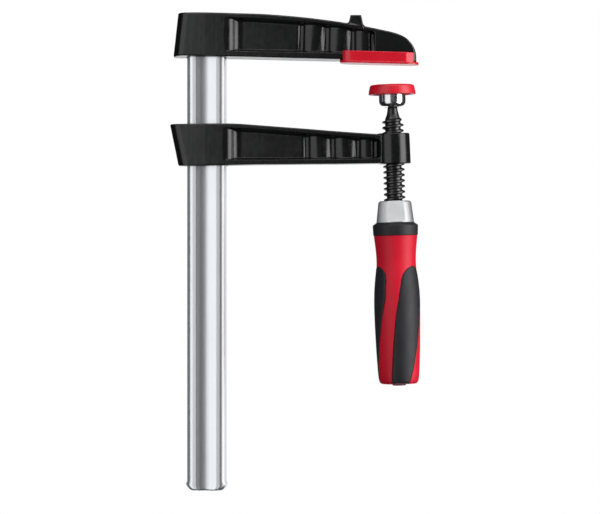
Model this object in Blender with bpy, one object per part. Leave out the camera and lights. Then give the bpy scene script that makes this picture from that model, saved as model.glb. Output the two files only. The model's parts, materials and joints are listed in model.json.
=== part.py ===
"""F clamp: a malleable-iron screw clamp, 250 mm opening by 120 mm throat.

Frame: the origin is the centre of the rail's section at its free (lower) end
face, +Z runs up the rail to the fixed arm, +X points out along the arms to the
spindle, and +Y completes the right-handed set, so the front faces -Y. All
sizes are in millimetres and are turned into metres when a mesh is made.

The sliding arm cants on the rail, so the spindle leans with its upper end
towards the rail. Everything on the spindle is built in the spindle's own
frame: its origin is the centre of the ball and its local z is called s.
"""

import math

import bmesh
import bpy
from mathutils import Vector

MM = 0.001
GAP = 0.3  # clearance between neighbouring pieces
CANT_DEG = 1.4  # lean of the spindle and of the sliding arm's window
BALL_CENTRE = (134.08, 0.0, 283.0)

# finishes
IRON = {"colour": (0.017, 0.018, 0.019), "roughness": 0.38, "metallic": 0.2}
RED = {"colour": (0.60, 0.012, 0.030), "roughness": 0.35, "metallic": 0.0}
SOFT_BLACK = {"colour": (0.030, 0.030, 0.034), "roughness": 0.6, "metallic": 0.0}
DRAWN_STEEL = {"colour": (0.62, 0.62, 0.64), "roughness": 0.28, "metallic": 1.0}
DARK_STEEL = {"colour": (0.030, 0.029, 0.028), "roughness": 0.35, "metallic": 0.9}
RING_STEEL = {"colour": (0.45, 0.45, 0.46), "roughness": 0.3, "metallic": 1.0}
BRIGHT_PLATE = {"colour": (0.75, 0.75, 0.77), "roughness": 0.15, "metallic": 1.0}
FERRULE_STEEL = {"colour": (0.62, 0.63, 0.65), "roughness": 0.35, "metallic": 1.0}


# ---- objects ----


def clear_scene():
    for old in list(bpy.data.objects):
        bpy.data.objects.remove(old, do_unlink=True)


def material(name, colour, roughness, metallic):
    made = bpy.data.materials.new(name)
    made.use_nodes = True
    shader = made.node_tree.nodes["Principled BSDF"]
    shader.inputs["Base Color"].default_value = (*colour, 1.0)
    shader.inputs["Roughness"].default_value = roughness
    shader.inputs["Metallic"].default_value = metallic
    made.diffuse_color = (*colour, 1.0)
    return made


def solid(name, shape, finish=None, parent=None, smooth=False):
    """A closed body from (points, faces), with a material named after it."""
    points, faces = shape
    mesh = bpy.data.meshes.new(name)
    bm = bmesh.new()
    verts = [bm.verts.new(Vector(point) * MM) for point in points]
    for face in faces:
        bm.faces.new([verts[i] for i in face])
    bmesh.ops.recalc_face_normals(bm, faces=bm.faces)
    bm.to_mesh(mesh)
    bm.free()
    if smooth:
        mesh.shade_smooth()
        mesh.set_sharp_from_angle(angle=math.radians(35))
    made = bpy.data.objects.new(name, mesh)
    bpy.context.scene.collection.objects.link(made)
    if finish:
        mesh.materials.append(material(name, **finish))
    made.parent = parent
    return made


def combine(body, helper, operation):
    """Joins a helper to the body or cuts it away, and hides the helper."""
    step = body.modifiers.new(operation.lower() + "_" + helper.name, "BOOLEAN")
    step.operation = operation
    step.solver = "EXACT"
    step.object = helper
    helper.hide_render = True
    helper.display_type = "WIRE"


# ---- lines and outlines ----


def along(points, x):
    """The height at x of a line through design points, level past its ends."""
    if x <= points[0][0]:
        return points[0][1]
    for (xa, za), (xb, zb) in zip(points, points[1:]):
        if x <= xb:
            return za + (zb - za) * (x - xa) / (xb - xa)
    return points[-1][1]


def straight(start, end):
    """The endless straight line through two (x, z) points, as a function of x."""
    (xa, za), (xb, zb) = start, end
    return lambda x: za + (zb - za) * (x - xa) / (xb - xa)


def arc(centre, radius, start, end, steps):
    """Points along an arc between two angles in degrees."""
    points = []
    for k in range(steps + 1):
        angle = math.radians(start + (end - start) * k / steps)
        x = centre[0] + radius * math.cos(angle)
        y = centre[1] + radius * math.sin(angle)
        points.append((x, y))
    return points


def plan_outline(x0, x1, half, radius0, radius1):
    """A rectangle in plan, as (x, y), with its own corner radius at each end."""
    points = []
    for x, y, radius, start in (
        (x1 - radius1, half - radius1, radius1, 90.0),
        (x1 - radius1, -(half - radius1), radius1, 0.0),
        (x0 + radius0, -(half - radius0), radius0, -90.0),
        (x0 + radius0, half - radius0, radius0, -180.0),
    ):
        points += arc((x, y), radius, start, start - 90.0, 5)
    return points


# ---- shapes: each returns points and faces ----


def add_face(faces, loop):
    """Adds a face without repeated points, unless too few are left."""
    clean = list(dict.fromkeys(loop))
    if len(clean) > 2:
        faces.append(clean)


def join_rings(faces, low, high):
    sides = len(low)
    for k in range(sides):
        m = (k + 1) % sides
        add_face(faces, (low[k], low[m], high[m], high[k]))


def add_ring(verts, radius, s, sides, shape=None):
    """A ring of points round the axis, or one shared point on the axis."""
    first = len(verts)
    if radius < 1e-6:
        verts.append((0.0, 0.0, s))
        return [first] * sides
    for k in range(sides):
        angle = 2 * math.pi * k / sides
        r = shape(radius, s, angle) if shape else radius
        verts.append((r * math.cos(angle), r * math.sin(angle), s))
    return list(range(first, first + sides))


def lathe(profile, sides, shape=None):
    """A turned body from a closed loop of (radius, s)."""
    verts, faces = [], []
    rings = [add_ring(verts, radius, s, sides, shape) for radius, s in profile]
    for low, high in zip(rings, rings[1:] + rings[:1]):
        join_rings(faces, low, high)
    return verts, faces


def loft(sections):
    """A capped body through loops that have the same number of points."""
    verts, faces, rings = [], [], []
    for section in sections:
        rings.append(list(range(len(verts), len(verts) + len(section))))
        verts += section
    for low, high in zip(rings, rings[1:]):
        join_rings(faces, low, high)
    return verts, faces + [rings[0], rings[-1]]


def slab(outline, low, high):
    """A plan outline drawn up between two sloping lines."""
    n = len(outline)
    verts = [(x, y, low(x)) for x, y in outline] + [(x, y, high(x)) for x, y in outline]
    faces = [list(range(n)), list(range(n, 2 * n))]
    join_rings(faces, *[list(cap) for cap in faces])
    return verts, faces


def box(x_range, y_range, z_range):
    verts = [(x, y, z) for x in x_range for y in y_range for z in z_range]
    faces = [
        [0, 1, 3, 2], [4, 6, 7, 5], [0, 4, 5, 1],
        [2, 3, 7, 6], [0, 2, 6, 4], [1, 5, 7, 3],
    ]
    return verts, faces


# ---- screw thread, shared by the spindle and the sliding arm ----

PITCH = 4.0
CORE_R = 5.6
CREST_R = 7.7
ROOT_HALF = 1.35  # half the thread's width at the core
CREST_HALF = 0.5  # and at the crest
CREST_AT = 1.0  # s of a crest on the +X side, modulo the pitch
THREAD_SIDES = 16


def threaded(below, above, start, turns, core, crest, root_half, crest_half, fade):
    """A turned bar with a right-hand thread between two turned ends.

    below and above are lists of (radius, s), both listed upwards. Each turn
    has four rows of points that climb by one pitch as they go round, and the
    crest fades into the core over 'fade' turns at both ends.
    """
    verts, faces = [], []
    sides = THREAD_SIDES
    low = [add_ring(verts, radius, s, sides) for radius, s in below]
    high = [add_ring(verts, radius, s, sides) for radius, s in above]
    # offset along the spindle, share of the thread's height
    rows = ((-root_half, 0.0), (-crest_half, 1.0), (crest_half, 1.0), (root_half, 0.0))
    columns = []
    for k in range(sides):
        angle = 2 * math.pi * k / sides
        column = []
        for turn in range(turns):
            travel = turn + k / sides
            to_end = min(travel, turns - 1 / sides - travel)
            height = max(0.0, min(1.0, to_end / fade))
            for offset, share in rows:
                r = core + (crest - core) * share * height
                s = start + PITCH * travel + offset
                column.append(len(verts))
                verts.append((r * math.cos(angle), r * math.sin(angle), s))
        columns.append(column)
    count = len(rows) * turns
    for this, after in zip(columns, columns[1:]):
        for j in range(count - 1):
            add_face(faces, (this[j], after[j], after[j + 1], this[j + 1]))
    # the last column meets the first one a turn higher up
    first, last = columns[0], columns[-1]
    for j in range(count - 5):
        add_face(faces, (last[j], first[j + 4], first[j + 5], last[j + 1]))
    for rings in (low, high):
        for lower, upper in zip(rings, rings[1:]):
            join_rings(faces, lower, upper)
    # the turned ends meet the thread, with one wide face each at the step
    for k in range(sides - 1):
        this, after = columns[k], columns[k + 1]
        add_face(faces, (low[-1][k], low[-1][k + 1], after[0], this[0]))
        add_face(faces, (this[-1], after[-1], high[0][k + 1], high[0][k]))
    add_face(faces, (low[-1][-1], low[-1][0], *first[:5], last[0]))
    add_face(faces, (first[-1], high[0][0], high[0][-1], *reversed(last[count - 5 :])))
    return verts, faces


# ---- rail: drawn flat bar with a shallow arc groove down each broad face ----

RAIL_WIDTH = 28.2
RAIL_THICK = 12.0
RAIL_TOP = 344.0
RAIL_CORNER = 2.2
GROOVE_WIDTH = 13.7
GROOVE_DEPTH = 1.3
STOP_HEIGHT = 4.2  # swaged stop near the free end
STOP_BULGE = 0.8
END_CHAMFER = 2.0
# z, growth of the half width, growth of the half thickness
RAIL_LEVELS = (
    (0.0, -END_CHAMFER, -0.8),
    (END_CHAMFER, 0.0, 0.0),
    (STOP_HEIGHT - 1.2, STOP_BULGE, 0.0),
    (STOP_HEIGHT, STOP_BULGE, 0.0),
    (STOP_HEIGHT + 1.0, 0.0, 0.0),
    (RAIL_TOP - 0.8, 0.0, 0.0),
    (RAIL_TOP, -0.6, -0.6),
)


def rail_outline():
    half_x, half_y = RAIL_WIDTH / 2, RAIL_THICK / 2
    corner = arc((half_x - RAIL_CORNER, half_y - RAIL_CORNER), RAIL_CORNER, 0.0, 90.0, 4)
    radius = ((GROOVE_WIDTH / 2) ** 2 + GROOVE_DEPTH**2) / (2 * GROOVE_DEPTH)
    groove = []
    for k in range(9):
        x = GROOVE_WIDTH / 2 * (1 - k / 4)
        sink = math.sqrt(radius**2 - x * x) - (radius - GROOVE_DEPTH)
        groove.append((x, half_y - sink))
    back = corner + groove + [(-x, y) for x, y in reversed(corner)]
    return back + [(-x, -y) for x, y in back]


def make_rail():
    outline = rail_outline()
    half_x, half_y = RAIL_WIDTH / 2, RAIL_THICK / 2
    sections = []
    for z, grow_x, grow_y in RAIL_LEVELS:
        scale_x = (half_x + grow_x) / half_x
        scale_y = (half_y + grow_y) / half_y
        sections.append([(x * scale_x, y * scale_y, z) for x, y in outline])
    solid("rail", loft(sections), DRAWN_STEEL)


# ---- both arms ----

HALF_AT_RAIL = 10.5  # half thickness at the rail
HALF_AT_TIP = 8.6  # and at the outer end
EDGE = 0.9  # edge chamfer
REAR_RADIUS = 7.5

# side pockets: depths are measured in from the face of the arm
RIM_DEPTH = 0.6  # at both ends of a pocket
WEB_DEPTH = 4.5
TOOTH_DEPTH = 6.2  # deepest part of each scallop
TOOTH_DROP = 4.2  # length over which a scallop drops away
POCKET_DRAFT = 0.18  # narrowing of the pocket per depth, top and bottom
POCKET_FLARE = 0.35  # widening at the cutter's outer side
POCKET_PROUD = 2.0  # how far the cutter stands out of the face


def beam(stations):
    """A body lofted through chamfered upright sections.

    A station is (x_bottom, x_top, z_bottom, z_top, half thickness).
    """
    sections = []
    for x_bottom, x_top, z_bottom, z_top, half in stations:
        run, rise = x_top - x_bottom, z_top - z_bottom
        length = math.hypot(run, rise)
        edge = min(EDGE, half * 0.4, length * 0.3)
        section = []
        for y, distance in (
            (-(half - edge), 0.0),
            (half - edge, 0.0),
            (half, edge),
            (half, length - edge),
            (half - edge, length),
            (-(half - edge), length),
            (-half, length - edge),
            (-half, edge),
        ):
            share = distance / length
            section.append((x_bottom + run * share, y, z_bottom + rise * share))
        sections.append(section)
    return loft(sections)


def arm_half(x, tip):
    share = max(0.0, min(1.0, x / tip))
    return HALF_AT_RAIL + (HALF_AT_TIP - HALF_AT_RAIL) * share


def upright(x, top, bottom, half):
    """A station that stands square at x."""
    return (x, x, along(bottom, x), along(top, x), half)


def rounded_rear(rear, top):
    """Stations that round the rear corners of an arm, along its slanted rear."""
    (x_bottom, z_bottom), (x_top, z_top) = rear
    stations = []
    for degrees in (0.0, 22.5, 45.0, 67.5, 90.0):
        angle = math.radians(degrees)
        run = REAR_RADIUS * (1 - math.cos(angle))
        half = HALF_AT_RAIL - REAR_RADIUS * (1 - math.sin(angle))
        z = z_top + (along(top, x_top + run) - z_top) * degrees / 90
        stations.append((x_bottom + run, x_top + run, z_bottom, z, half))
    return stations


def pocket_floor(x_range, teeth):
    """The (x, depth) line of a pocket: web, then scallops that drop away
    sharply and rise again towards the tip."""
    x0, x1 = x_range
    floor = [(x0, RIM_DEPTH), (x0 + 3.2, WEB_DEPTH - 0.4), (x0 + 6.0, WEB_DEPTH)]
    for x, end in zip(teeth, teeth[1:] + (x1 - 4.5,)):
        lowest = x + TOOTH_DROP
        floor += [
            (x, WEB_DEPTH),
            (lowest, TOOTH_DEPTH),
            (lowest + (end - x - TOOTH_DROP) * 0.5, WEB_DEPTH + 0.5),
        ]
    return floor + [(x1 - 4.0, WEB_DEPTH), (x1, RIM_DEPTH)]


def cut_pockets(arm, x_range, top, bottom, teeth, tip):
    """Cuts the recess in the front and in the back of an arm."""
    for side, side_name in ((-1, "front"), (1, "back")):
        sections = []
        for x, depth in pocket_floor(x_range, teeth):
            face = arm_half(x, tip)
            z_top, z_bottom = along(top, x), along(bottom, x)
            draft = POCKET_DRAFT * depth
            sections.append([
                (x, side * (face + POCKET_PROUD), z_bottom - POCKET_FLARE),
                (x, side * (face + POCKET_PROUD), z_top + POCKET_FLARE),
                (x, side * (face - depth), z_top - draft),
                (x, side * (face - depth), z_bottom + draft),
            ])
        cutter = solid(f"{arm.name}_pocket_{side_name}", loft(sections))
        combine(arm, cutter, "DIFFERENCE")


# ---- fixed arm: lines are (x, z) design points ----

FIXED_REAR = ((-23.1, 313.5), (-18.6, 344.8))
FIXED_TOP = (
    (-5.0, 344.9), (21.0, 344.3), (43.0, 343.4), (62.0, 342.2), (80.0, 340.2),
    (97.0, 337.9), (113.0, 335.5), (125.0, 333.0), (136.0, 330.4), (142.6, 327.9),
    (146.9, 324.2), (149.3, 320.6), (150.7, 316.6), (151.3, 312.6),
)
FIXED_BOTTOM = ((-15.0, 313.5), (17.0, 313.5), (94.5, 311.7), (98.0, 311.9), (151.3, 310.4))
FIXED_TIP = FIXED_TOP[-1][0]
FIXED_SEAT_X = FIXED_BOTTOM[3][0]  # where the jaw pad's seat begins
FIXED_POCKET_TOP = ((22.0, 339.8), (70.0, 336.8), (118.0, 331.8))
FIXED_POCKET_BOTTOM = ((22.0, 318.0), (118.0, 317.0))
FIXED_POCKET_X = (15.5, 119.8)
FIXED_TEETH = (66.4, 83.4, 101.8)  # where each scallop drops away
NOSE_RADIUS = 8.0
RAIL_SLOT_Z = (300.0, 350.0)

# stub lug on the top of the arm
LUG_X = (103.4, 111.8)
LUG_TOP = 343.0
LUG_HALF = 6.5
LUG_SINK = 3.0  # how far its base lies under the arm's top
LUG_FOOT_HEIGHT = 4.6  # height of the flared foot


def rectangle(x0, x1, half, z):
    return [(x0, -half, z), (x1, -half, z), (x1, half, z), (x0, half, z)]


def make_lug():
    x0, x1 = LUG_X
    base = along(FIXED_TOP, (x0 + x1) / 2) - LUG_SINK
    return solid("fixed_arm_lug", loft([
        rectangle(x0 - 2.2, x1 + 2.2, LUG_HALF + 1, base),
        rectangle(x0, x1, LUG_HALF, base + LUG_FOOT_HEIGHT),
        rectangle(x0 + 0.9, x1 - 0.5, LUG_HALF - 0.4, LUG_TOP),
    ]))


def fixed_half(x):
    """Half thickness of the fixed arm, rounded in plan at the nose."""
    half = arm_half(x, FIXED_TIP)
    run = FIXED_TIP - x
    if run < NOSE_RADIUS:
        half -= NOSE_RADIUS - math.sqrt(NOSE_RADIUS**2 - (NOSE_RADIUS - run) ** 2)
    return half


def make_fixed_arm():
    places = [x for x, _ in FIXED_TOP[:8]] + [FIXED_SEAT_X]
    for degrees in (90, 75, 60, 45, 30, 15, 0):
        places.append(FIXED_TIP - NOSE_RADIUS * (1 - math.cos(math.radians(degrees))))
    stations = rounded_rear(FIXED_REAR, FIXED_TOP)
    stations += [upright(x, FIXED_TOP, FIXED_BOTTOM, fixed_half(x)) for x in sorted(places)]
    arm = solid("fixed_arm", beam(stations), IRON)
    combine(arm, make_lug(), "UNION")
    cut_pockets(
        arm, FIXED_POCKET_X, FIXED_POCKET_TOP, FIXED_POCKET_BOTTOM, FIXED_TEETH, FIXED_TIP
    )
    half_x, half_y = RAIL_WIDTH / 2 + GAP, RAIL_THICK / 2 + GAP
    slot = solid("fixed_arm_rail_slot", box((-half_x, half_x), (-half_y, half_y), RAIL_SLOT_Z))
    combine(arm, slot, "DIFFERENCE")


# ---- jaw pad: a shoe round the lower side of the fixed arm's outer end ----

PAD_FACE = ((96.7, 309.95), (152.7, 308.4))  # clamping face, as (x, z)
PAD_FLOOR = 1.6  # thickness of the floor
PAD_LIP_HALF = 11.7
PAD_WALL_HALF = 10.7
PAD_WALL_X = (98.9, 152.2)
PAD_OPEN_X = 149.8  # the wall is cut away beyond this
PAD_RIM = ((PAD_WALL_X[0], 318.0), (PAD_OPEN_X, 316.3))  # top of the wall, as (x, z)
PAD_CUTTER_TOP = 330.0
PAD_TIP_SLOT = ((PAD_OPEN_X, -12), (160, -12), (160, 12), (PAD_OPEN_X, 12))  # (x, y)


def make_jaw_pad():
    face = straight(*PAD_FACE)

    def floor(x):
        return face(x) + PAD_FLOOR

    def wall_base(x):
        return face(x) + 0.6

    def cutter_top(x):
        return PAD_CUTTER_TOP

    lip_plan = plan_outline(PAD_FACE[0][0], PAD_FACE[1][0], PAD_LIP_HALF, 3.0, 9.5)
    pad = solid("jaw_pad", slab(lip_plan, face, floor), RED)
    wall_plan = plan_outline(*PAD_WALL_X, PAD_WALL_HALF, 2.2, 9.2)
    wall = solid("jaw_pad_wall", slab(wall_plan, wall_base, straight(*PAD_RIM)))
    combine(pad, wall, "UNION")
    hollow_half = arm_half(FIXED_SEAT_X, FIXED_TIP) + GAP
    hollow_plan = plan_outline(90.0, FIXED_TIP + GAP, hollow_half, 1.0, NOSE_RADIUS + GAP)
    hollow = solid("jaw_pad_hollow", slab(hollow_plan, floor, cutter_top))
    combine(pad, hollow, "DIFFERENCE")
    tip_slot = solid("jaw_pad_tip_slot", slab(PAD_TIP_SLOT, floor, cutter_top))
    combine(pad, tip_slot, "DIFFERENCE")


# ---- sliding arm: lines are (x, z) design points ----

SLIDE_REAR = ((-19.6, 234.3), (-25.8, 263.9))
SLIDE_TOP = (
    (-14.0, 264.7), (17.0, 264.7), (25.6, 264.5), (43.0, 263.1),
    (94.9, 259.0), (121.0, 257.0), (128.4, 256.8),
)
SLIDE_BOTTOM = (
    (-8.0, 234.3), (12.6, 234.6), (38.6, 235.0),
    (99.0, 235.4), (122.0, 235.8), (128.4, 236.0),
)
SLIDE_TIP = SLIDE_TOP[-1][0]
SLIDE_STATIONS = (-2.0, 12.6, 17.0, 25.6, 38.6, 43.0, 70.0, 94.9, 110.0, 121.0)  # x
SLIDE_END = ((125.0, 8.2), (SLIDE_TIP, 7.0))  # x, half thickness
SLIDE_POCKET_TOP = ((20.6, 261.2), (122.4, 253.4))
SLIDE_POCKET_BOTTOM = ((20.6, 239.4), (122.4, 240.1))
SLIDE_POCKET_X = (13.1, 123.2)
SLIDE_TEETH = (70.0, 87.2, 105.4)

# window for the rail
WINDOW_HALF_X = RAIL_WIDTH / 2 + 0.65
WINDOW_HALF_Y = RAIL_THICK / 2 + 0.45
WINDOW_HALF_Z = 25.0
WINDOW_Z = (SLIDE_BOTTOM[0][1] + SLIDE_TOP[0][1]) / 2

# boss round the spindle: top and bottom are s
BOSS_TOP = -25.3
BOSS_BOTTOM = -47.3
BOSS_R_TOP = 11.85
BOSS_R_BOTTOM = 12.2

# female thread
FEMALE_PLAY = 0.4  # radial
FEMALE_EXTRA = 0.28  # added to the thread's half width
FEMALE_START = CREST_AT - PITCH * 15
FEMALE_TURNS = 12


def make_boss(frame):
    profile = [
        (0.0, BOSS_BOTTOM),
        (BOSS_R_BOTTOM - 0.7, BOSS_BOTTOM),
        (BOSS_R_BOTTOM, BOSS_BOTTOM + 0.7),
        (BOSS_R_TOP, BOSS_TOP - 1.0),
        (BOSS_R_TOP - 1.0, BOSS_TOP),
        (0.0, BOSS_TOP),
    ]
    return solid("sliding_arm_boss", lathe(profile, 36), parent=frame)


def make_window():
    window = solid("sliding_arm_window", box(
        (-WINDOW_HALF_X, WINDOW_HALF_X),
        (-WINDOW_HALF_Y, WINDOW_HALF_Y),
        (-WINDOW_HALF_Z, WINDOW_HALF_Z),
    ))
    window.location = Vector((0.0, 0.0, WINDOW_Z)) * MM
    window.rotation_euler = (0.0, -math.radians(CANT_DEG), 0.0)
    return window


def make_female_thread(frame):
    core = CORE_R + FEMALE_PLAY
    bottom = FEMALE_START - 5.0
    top = FEMALE_START + PITCH * FEMALE_TURNS + 3.0
    shape = threaded(
        below=[(0.0, bottom), (core, bottom)],
        above=[(core, top), (0.0, top)],
        start=FEMALE_START,
        turns=FEMALE_TURNS,
        core=core,
        crest=CREST_R + FEMALE_PLAY,
        root_half=ROOT_HALF + FEMALE_EXTRA + 0.1,
        crest_half=CREST_HALF + FEMALE_EXTRA,
        fade=0.5,
    )
    return solid("sliding_arm_thread", shape, parent=frame)


def make_sliding_arm(frame):
    widths = [(x, arm_half(x, SLIDE_TIP)) for x in SLIDE_STATIONS] + list(SLIDE_END)
    stations = rounded_rear(SLIDE_REAR, SLIDE_TOP)
    stations += [upright(x, SLIDE_TOP, SLIDE_BOTTOM, half) for x, half in widths]
    arm = solid("sliding_arm", beam(stations), IRON)
    combine(arm, make_boss(frame), "UNION")
    cut_pockets(
        arm, SLIDE_POCKET_X, SLIDE_POCKET_TOP, SLIDE_POCKET_BOTTOM, SLIDE_TEETH, SLIDE_TIP
    )
    combine(arm, make_window(), "DIFFERENCE")
    combine(arm, make_female_thread(frame), "DIFFERENCE")


# ---- spindle: ball at the top, tang inside the handle; profiles are (radius, s) ----

BALL_R = 6.5
BALL_NECK_R = 3.3  # where the ball meets the neck
BALL_TOP_DEG = 72.0  # the ball is cut flat at this latitude
NECK = [(4.8, -12.9), (4.15, -10.8), (3.8, -8.6), (3.45, -6.9)]
SPINDLE_START = CREST_AT - PITCH * 19
SPINDLE_TURNS = 14
TANG_R = 4.8
TANG_END = -186.0


def make_spindle(frame):
    neck_deg = math.degrees(math.asin(-math.sqrt(BALL_R**2 - BALL_NECK_R**2) / BALL_R))
    ball = arc((0.0, 0.0), BALL_R, neck_deg, BALL_TOP_DEG, 8)
    thread_end = SPINDLE_START + PITCH * SPINDLE_TURNS + ROOT_HALF
    shape = threaded(
        below=[
            (0.0, TANG_END),
            (TANG_R - 0.8, TANG_END),
            (TANG_R, TANG_END + 1.2),
            (TANG_R, SPINDLE_START - 2.6),
            (CORE_R, SPINDLE_START - 1.9),
        ],
        above=[(CORE_R, thread_end + 0.4)] + NECK + ball + [(0.0, ball[-1][1])],
        start=SPINDLE_START,
        turns=SPINDLE_TURNS,
        core=CORE_R,
        crest=CREST_R,
        root_half=ROOT_HALF,
        crest_half=CREST_HALF,
        fade=0.6,
    )
    solid("spindle", shape, DARK_STEEL, frame, smooth=True)


# ---- swivel plate on the ball: open wire ring, cup with disc, cap ----

RING_CENTRE_R = 7.3  # from the ball's centre to the wire's centre
RING_WIRE_R = 0.42
RING_POLAR_DEG = 55.0  # from the downward axis
RING_START_DEG = 20.0
RING_SWEEP_DEG = 320.0
RING_STEPS = 22
RING_SIDES = 8

CUP_R = 9.9
CUP_INNER_R = 8.1
CUP_MOUTH_R = 5.9
CUP_BOTTOM = -6.5
DISC_BOTTOM = 6.9
DISC_TOP = 8.7
DISC_R = 15.0

CAP_R_BOTTOM = 17.0
CAP_R_TOP = 15.9
CAP_MOUTH_R = 14.0  # opening at the cap's lower face
CAP_LEDGE_R = 13.6  # opening just under the disc
CAP_ROUND = 2.0  # radius of the upper rim
CAP_BOTTOM = 2.05
CAP_TOP = 10.3


def make_snap_ring(frame):
    polar = math.radians(RING_POLAR_DEG)
    ring_r, ring_s = RING_CENTRE_R * math.sin(polar), -RING_CENTRE_R * math.cos(polar)
    wire = []
    for k in range(RING_SIDES):
        turn = 2 * math.pi * k / RING_SIDES
        wire.append((ring_r + RING_WIRE_R * math.cos(turn), ring_s + RING_WIRE_R * math.sin(turn)))
    sections = []
    for i in range(RING_STEPS + 1):
        angle = math.radians(RING_START_DEG + RING_SWEEP_DEG * i / RING_STEPS)
        sections.append([(r * math.cos(angle), r * math.sin(angle), s) for r, s in wire])
    solid("ball_snap_ring", loft(sections), RING_STEEL, frame, smooth=True)


def make_pressure_plate(frame):
    mouth_deg = math.degrees(math.asin(CUP_MOUTH_R / CUP_INNER_R))
    profile = [(0.0, DISC_BOTTOM), (CUP_INNER_R, DISC_BOTTOM)]
    profile += arc((0.0, 0.0), CUP_INNER_R, 0.0, mouth_deg - 90.0, 5)
    profile += [
        (CUP_MOUTH_R + 0.5, CUP_BOTTOM),
        (7.3, CUP_BOTTOM + 0.05),
        (8.6, CUP_BOTTOM + 0.9),
        (9.5, CUP_BOTTOM + 2.4),
        (CUP_R, CUP_BOTTOM + 4.4),
        (CUP_R, DISC_BOTTOM - 0.6),
        (CUP_R + 0.6, DISC_BOTTOM),
        (DISC_R, DISC_BOTTOM),
        (DISC_R, DISC_TOP),
        (0.0, DISC_TOP),
    ]
    solid("pressure_plate", lathe(profile, 36), BRIGHT_PLATE, frame, smooth=True)


def make_plate_cap(frame):
    profile = [
        (0.0, DISC_TOP + GAP),
        (DISC_R + GAP, DISC_TOP + GAP),
        (DISC_R + GAP, DISC_BOTTOM - GAP),
        (CAP_LEDGE_R, DISC_BOTTOM - GAP),
        (CAP_MOUTH_R, CAP_BOTTOM),
        (CAP_R_BOTTOM - 0.5, CAP_BOTTOM),
        (CAP_R_BOTTOM, CAP_BOTTOM + 0.6),
    ]
    round_centre = (CAP_R_TOP - CAP_ROUND + 0.1, CAP_TOP - CAP_ROUND)
    profile += arc(round_centre, CAP_ROUND, 0.0, 90.0, 4)
    profile.append((0.0, CAP_TOP))
    solid("plate_cap", lathe(profile, 40), RED, frame, smooth=True)


# ---- ferrule and collar at the top of the handle: tops and bottoms are s ----

FERRULE_TOP = -73.6
FERRULE_BOTTOM = -89.5
FERRULE_R_TOP = 11.6
FERRULE_R_BOTTOM = 13.5
FERRULE_MOUTH_R = 8.3
FERRULE_MOUTH_DEPTH = 5.4
FERRULE_BORE_R = 5.3
FERRULE_SOCKET_R = 11.4  # recess over the handle's spigot
FERRULE_SOCKET_DEPTH = 3.0
# two tapering flats on the outside, half the size across them
FERRULE_FLAT_TOP = 10.1
FERRULE_FLAT_BOTTOM = 12.0
FERRULE_FLAT_TURN_DEG = 6.0  # front flat turned from -Y towards +X
FERRULE_FLAT_MIN_R = 9.0  # radii under this are inside and stay round

SPIGOT_R = 11.0
COLLAR_R = 16.35
COLLAR_BOTTOM = -98.9


def ferrule_flats(radius, s, angle):
    if radius < FERRULE_FLAT_MIN_R:
        return radius
    share = (FERRULE_TOP - s) / (FERRULE_TOP - FERRULE_BOTTOM)
    flat = FERRULE_FLAT_TOP + (FERRULE_FLAT_BOTTOM - FERRULE_FLAT_TOP) * share
    across = abs(math.cos(angle + math.pi / 2 - math.radians(FERRULE_FLAT_TURN_DEG)))
    return min(radius, flat / across) if across > 0.5 else radius


def make_ferrule(frame):
    socket_top = FERRULE_BOTTOM + FERRULE_SOCKET_DEPTH
    profile = [
        (FERRULE_MOUTH_R, FERRULE_TOP),
        (FERRULE_MOUTH_R, FERRULE_TOP - FERRULE_MOUTH_DEPTH),
        (FERRULE_BORE_R, FERRULE_TOP - FERRULE_MOUTH_DEPTH),
        (FERRULE_BORE_R, socket_top),
        (FERRULE_SOCKET_R, socket_top),
        (FERRULE_SOCKET_R, FERRULE_BOTTOM + GAP),
        (FERRULE_R_BOTTOM, FERRULE_BOTTOM + GAP),
        (FERRULE_R_BOTTOM - 0.2, FERRULE_BOTTOM + 1.6),
        (FERRULE_R_TOP + 0.25, FERRULE_TOP - 1.4),
        (FERRULE_R_TOP - 0.2, FERRULE_TOP - 0.4),
        (FERRULE_R_TOP - 0.9, FERRULE_TOP),
    ]
    solid("ferrule", lathe(profile, 60, ferrule_flats), FERRULE_STEEL, frame)


def make_collar(frame):
    profile = [
        (SPIGOT_R + GAP, COLLAR_BOTTOM + GAP),
        (COLLAR_R - 0.5, COLLAR_BOTTOM + GAP),
        (COLLAR_R, FERRULE_BOTTOM - 2.6),
        (COLLAR_R - 0.5, FERRULE_BOTTOM - 1.2),
        (COLLAR_R - 2.2, FERRULE_BOTTOM - 0.2),
        (SPIGOT_R + GAP, FERRULE_BOTTOM),
    ]
    solid("handle_collar", lathe(profile, 40), SOFT_BLACK, frame, smooth=True)


# ---- handle: red core, three soft inlays, end plug ----

HANDLE_END = -206.5  # s of the lower end; handle heights are measured up from it
SPIGOT_TOP = FERRULE_BOTTOM + 2.6
BORE_R = 5.15
PLUG_R = 4.85
PLUG_HOLE_DEPTH = 6.0
# height, outer radius
HANDLE_SHAPE = (
    (0.0, 11.2), (0.8, 12.6), (2.4, 13.9), (5.4, 14.55), (11.0, 14.95), (20.0, 15.45),
    (33.0, 15.95), (46.0, 16.3), (55.0, 16.4), (66.0, 16.1), (75.0, 15.3), (82.0, 14.45),
    (88.0, 14.15), (94.0, 14.4), (100.0, 14.95), (104.0, 15.4), (107.3, 15.75),
)

GRIP_COUNT = 3
GRIP_DEPTH = 1.6
GRIP_PROUD = 0.3
GRIP_BOTTOM = 0.6
GRIP_TOP = 84.6
GRIP_ACROSS = 6  # faces across an inlay
# height, middle of the first inlay in degrees from -Y towards +X
GRIP_MIDDLE = (
    (0.0, 7.0), (5.5, 11.0), (20.0, 21.5), (34.0, 30.0),
    (49.0, 38.5), (61.0, 47.5), (73.0, 52.0), (85.0, 57.0),
)
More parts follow.
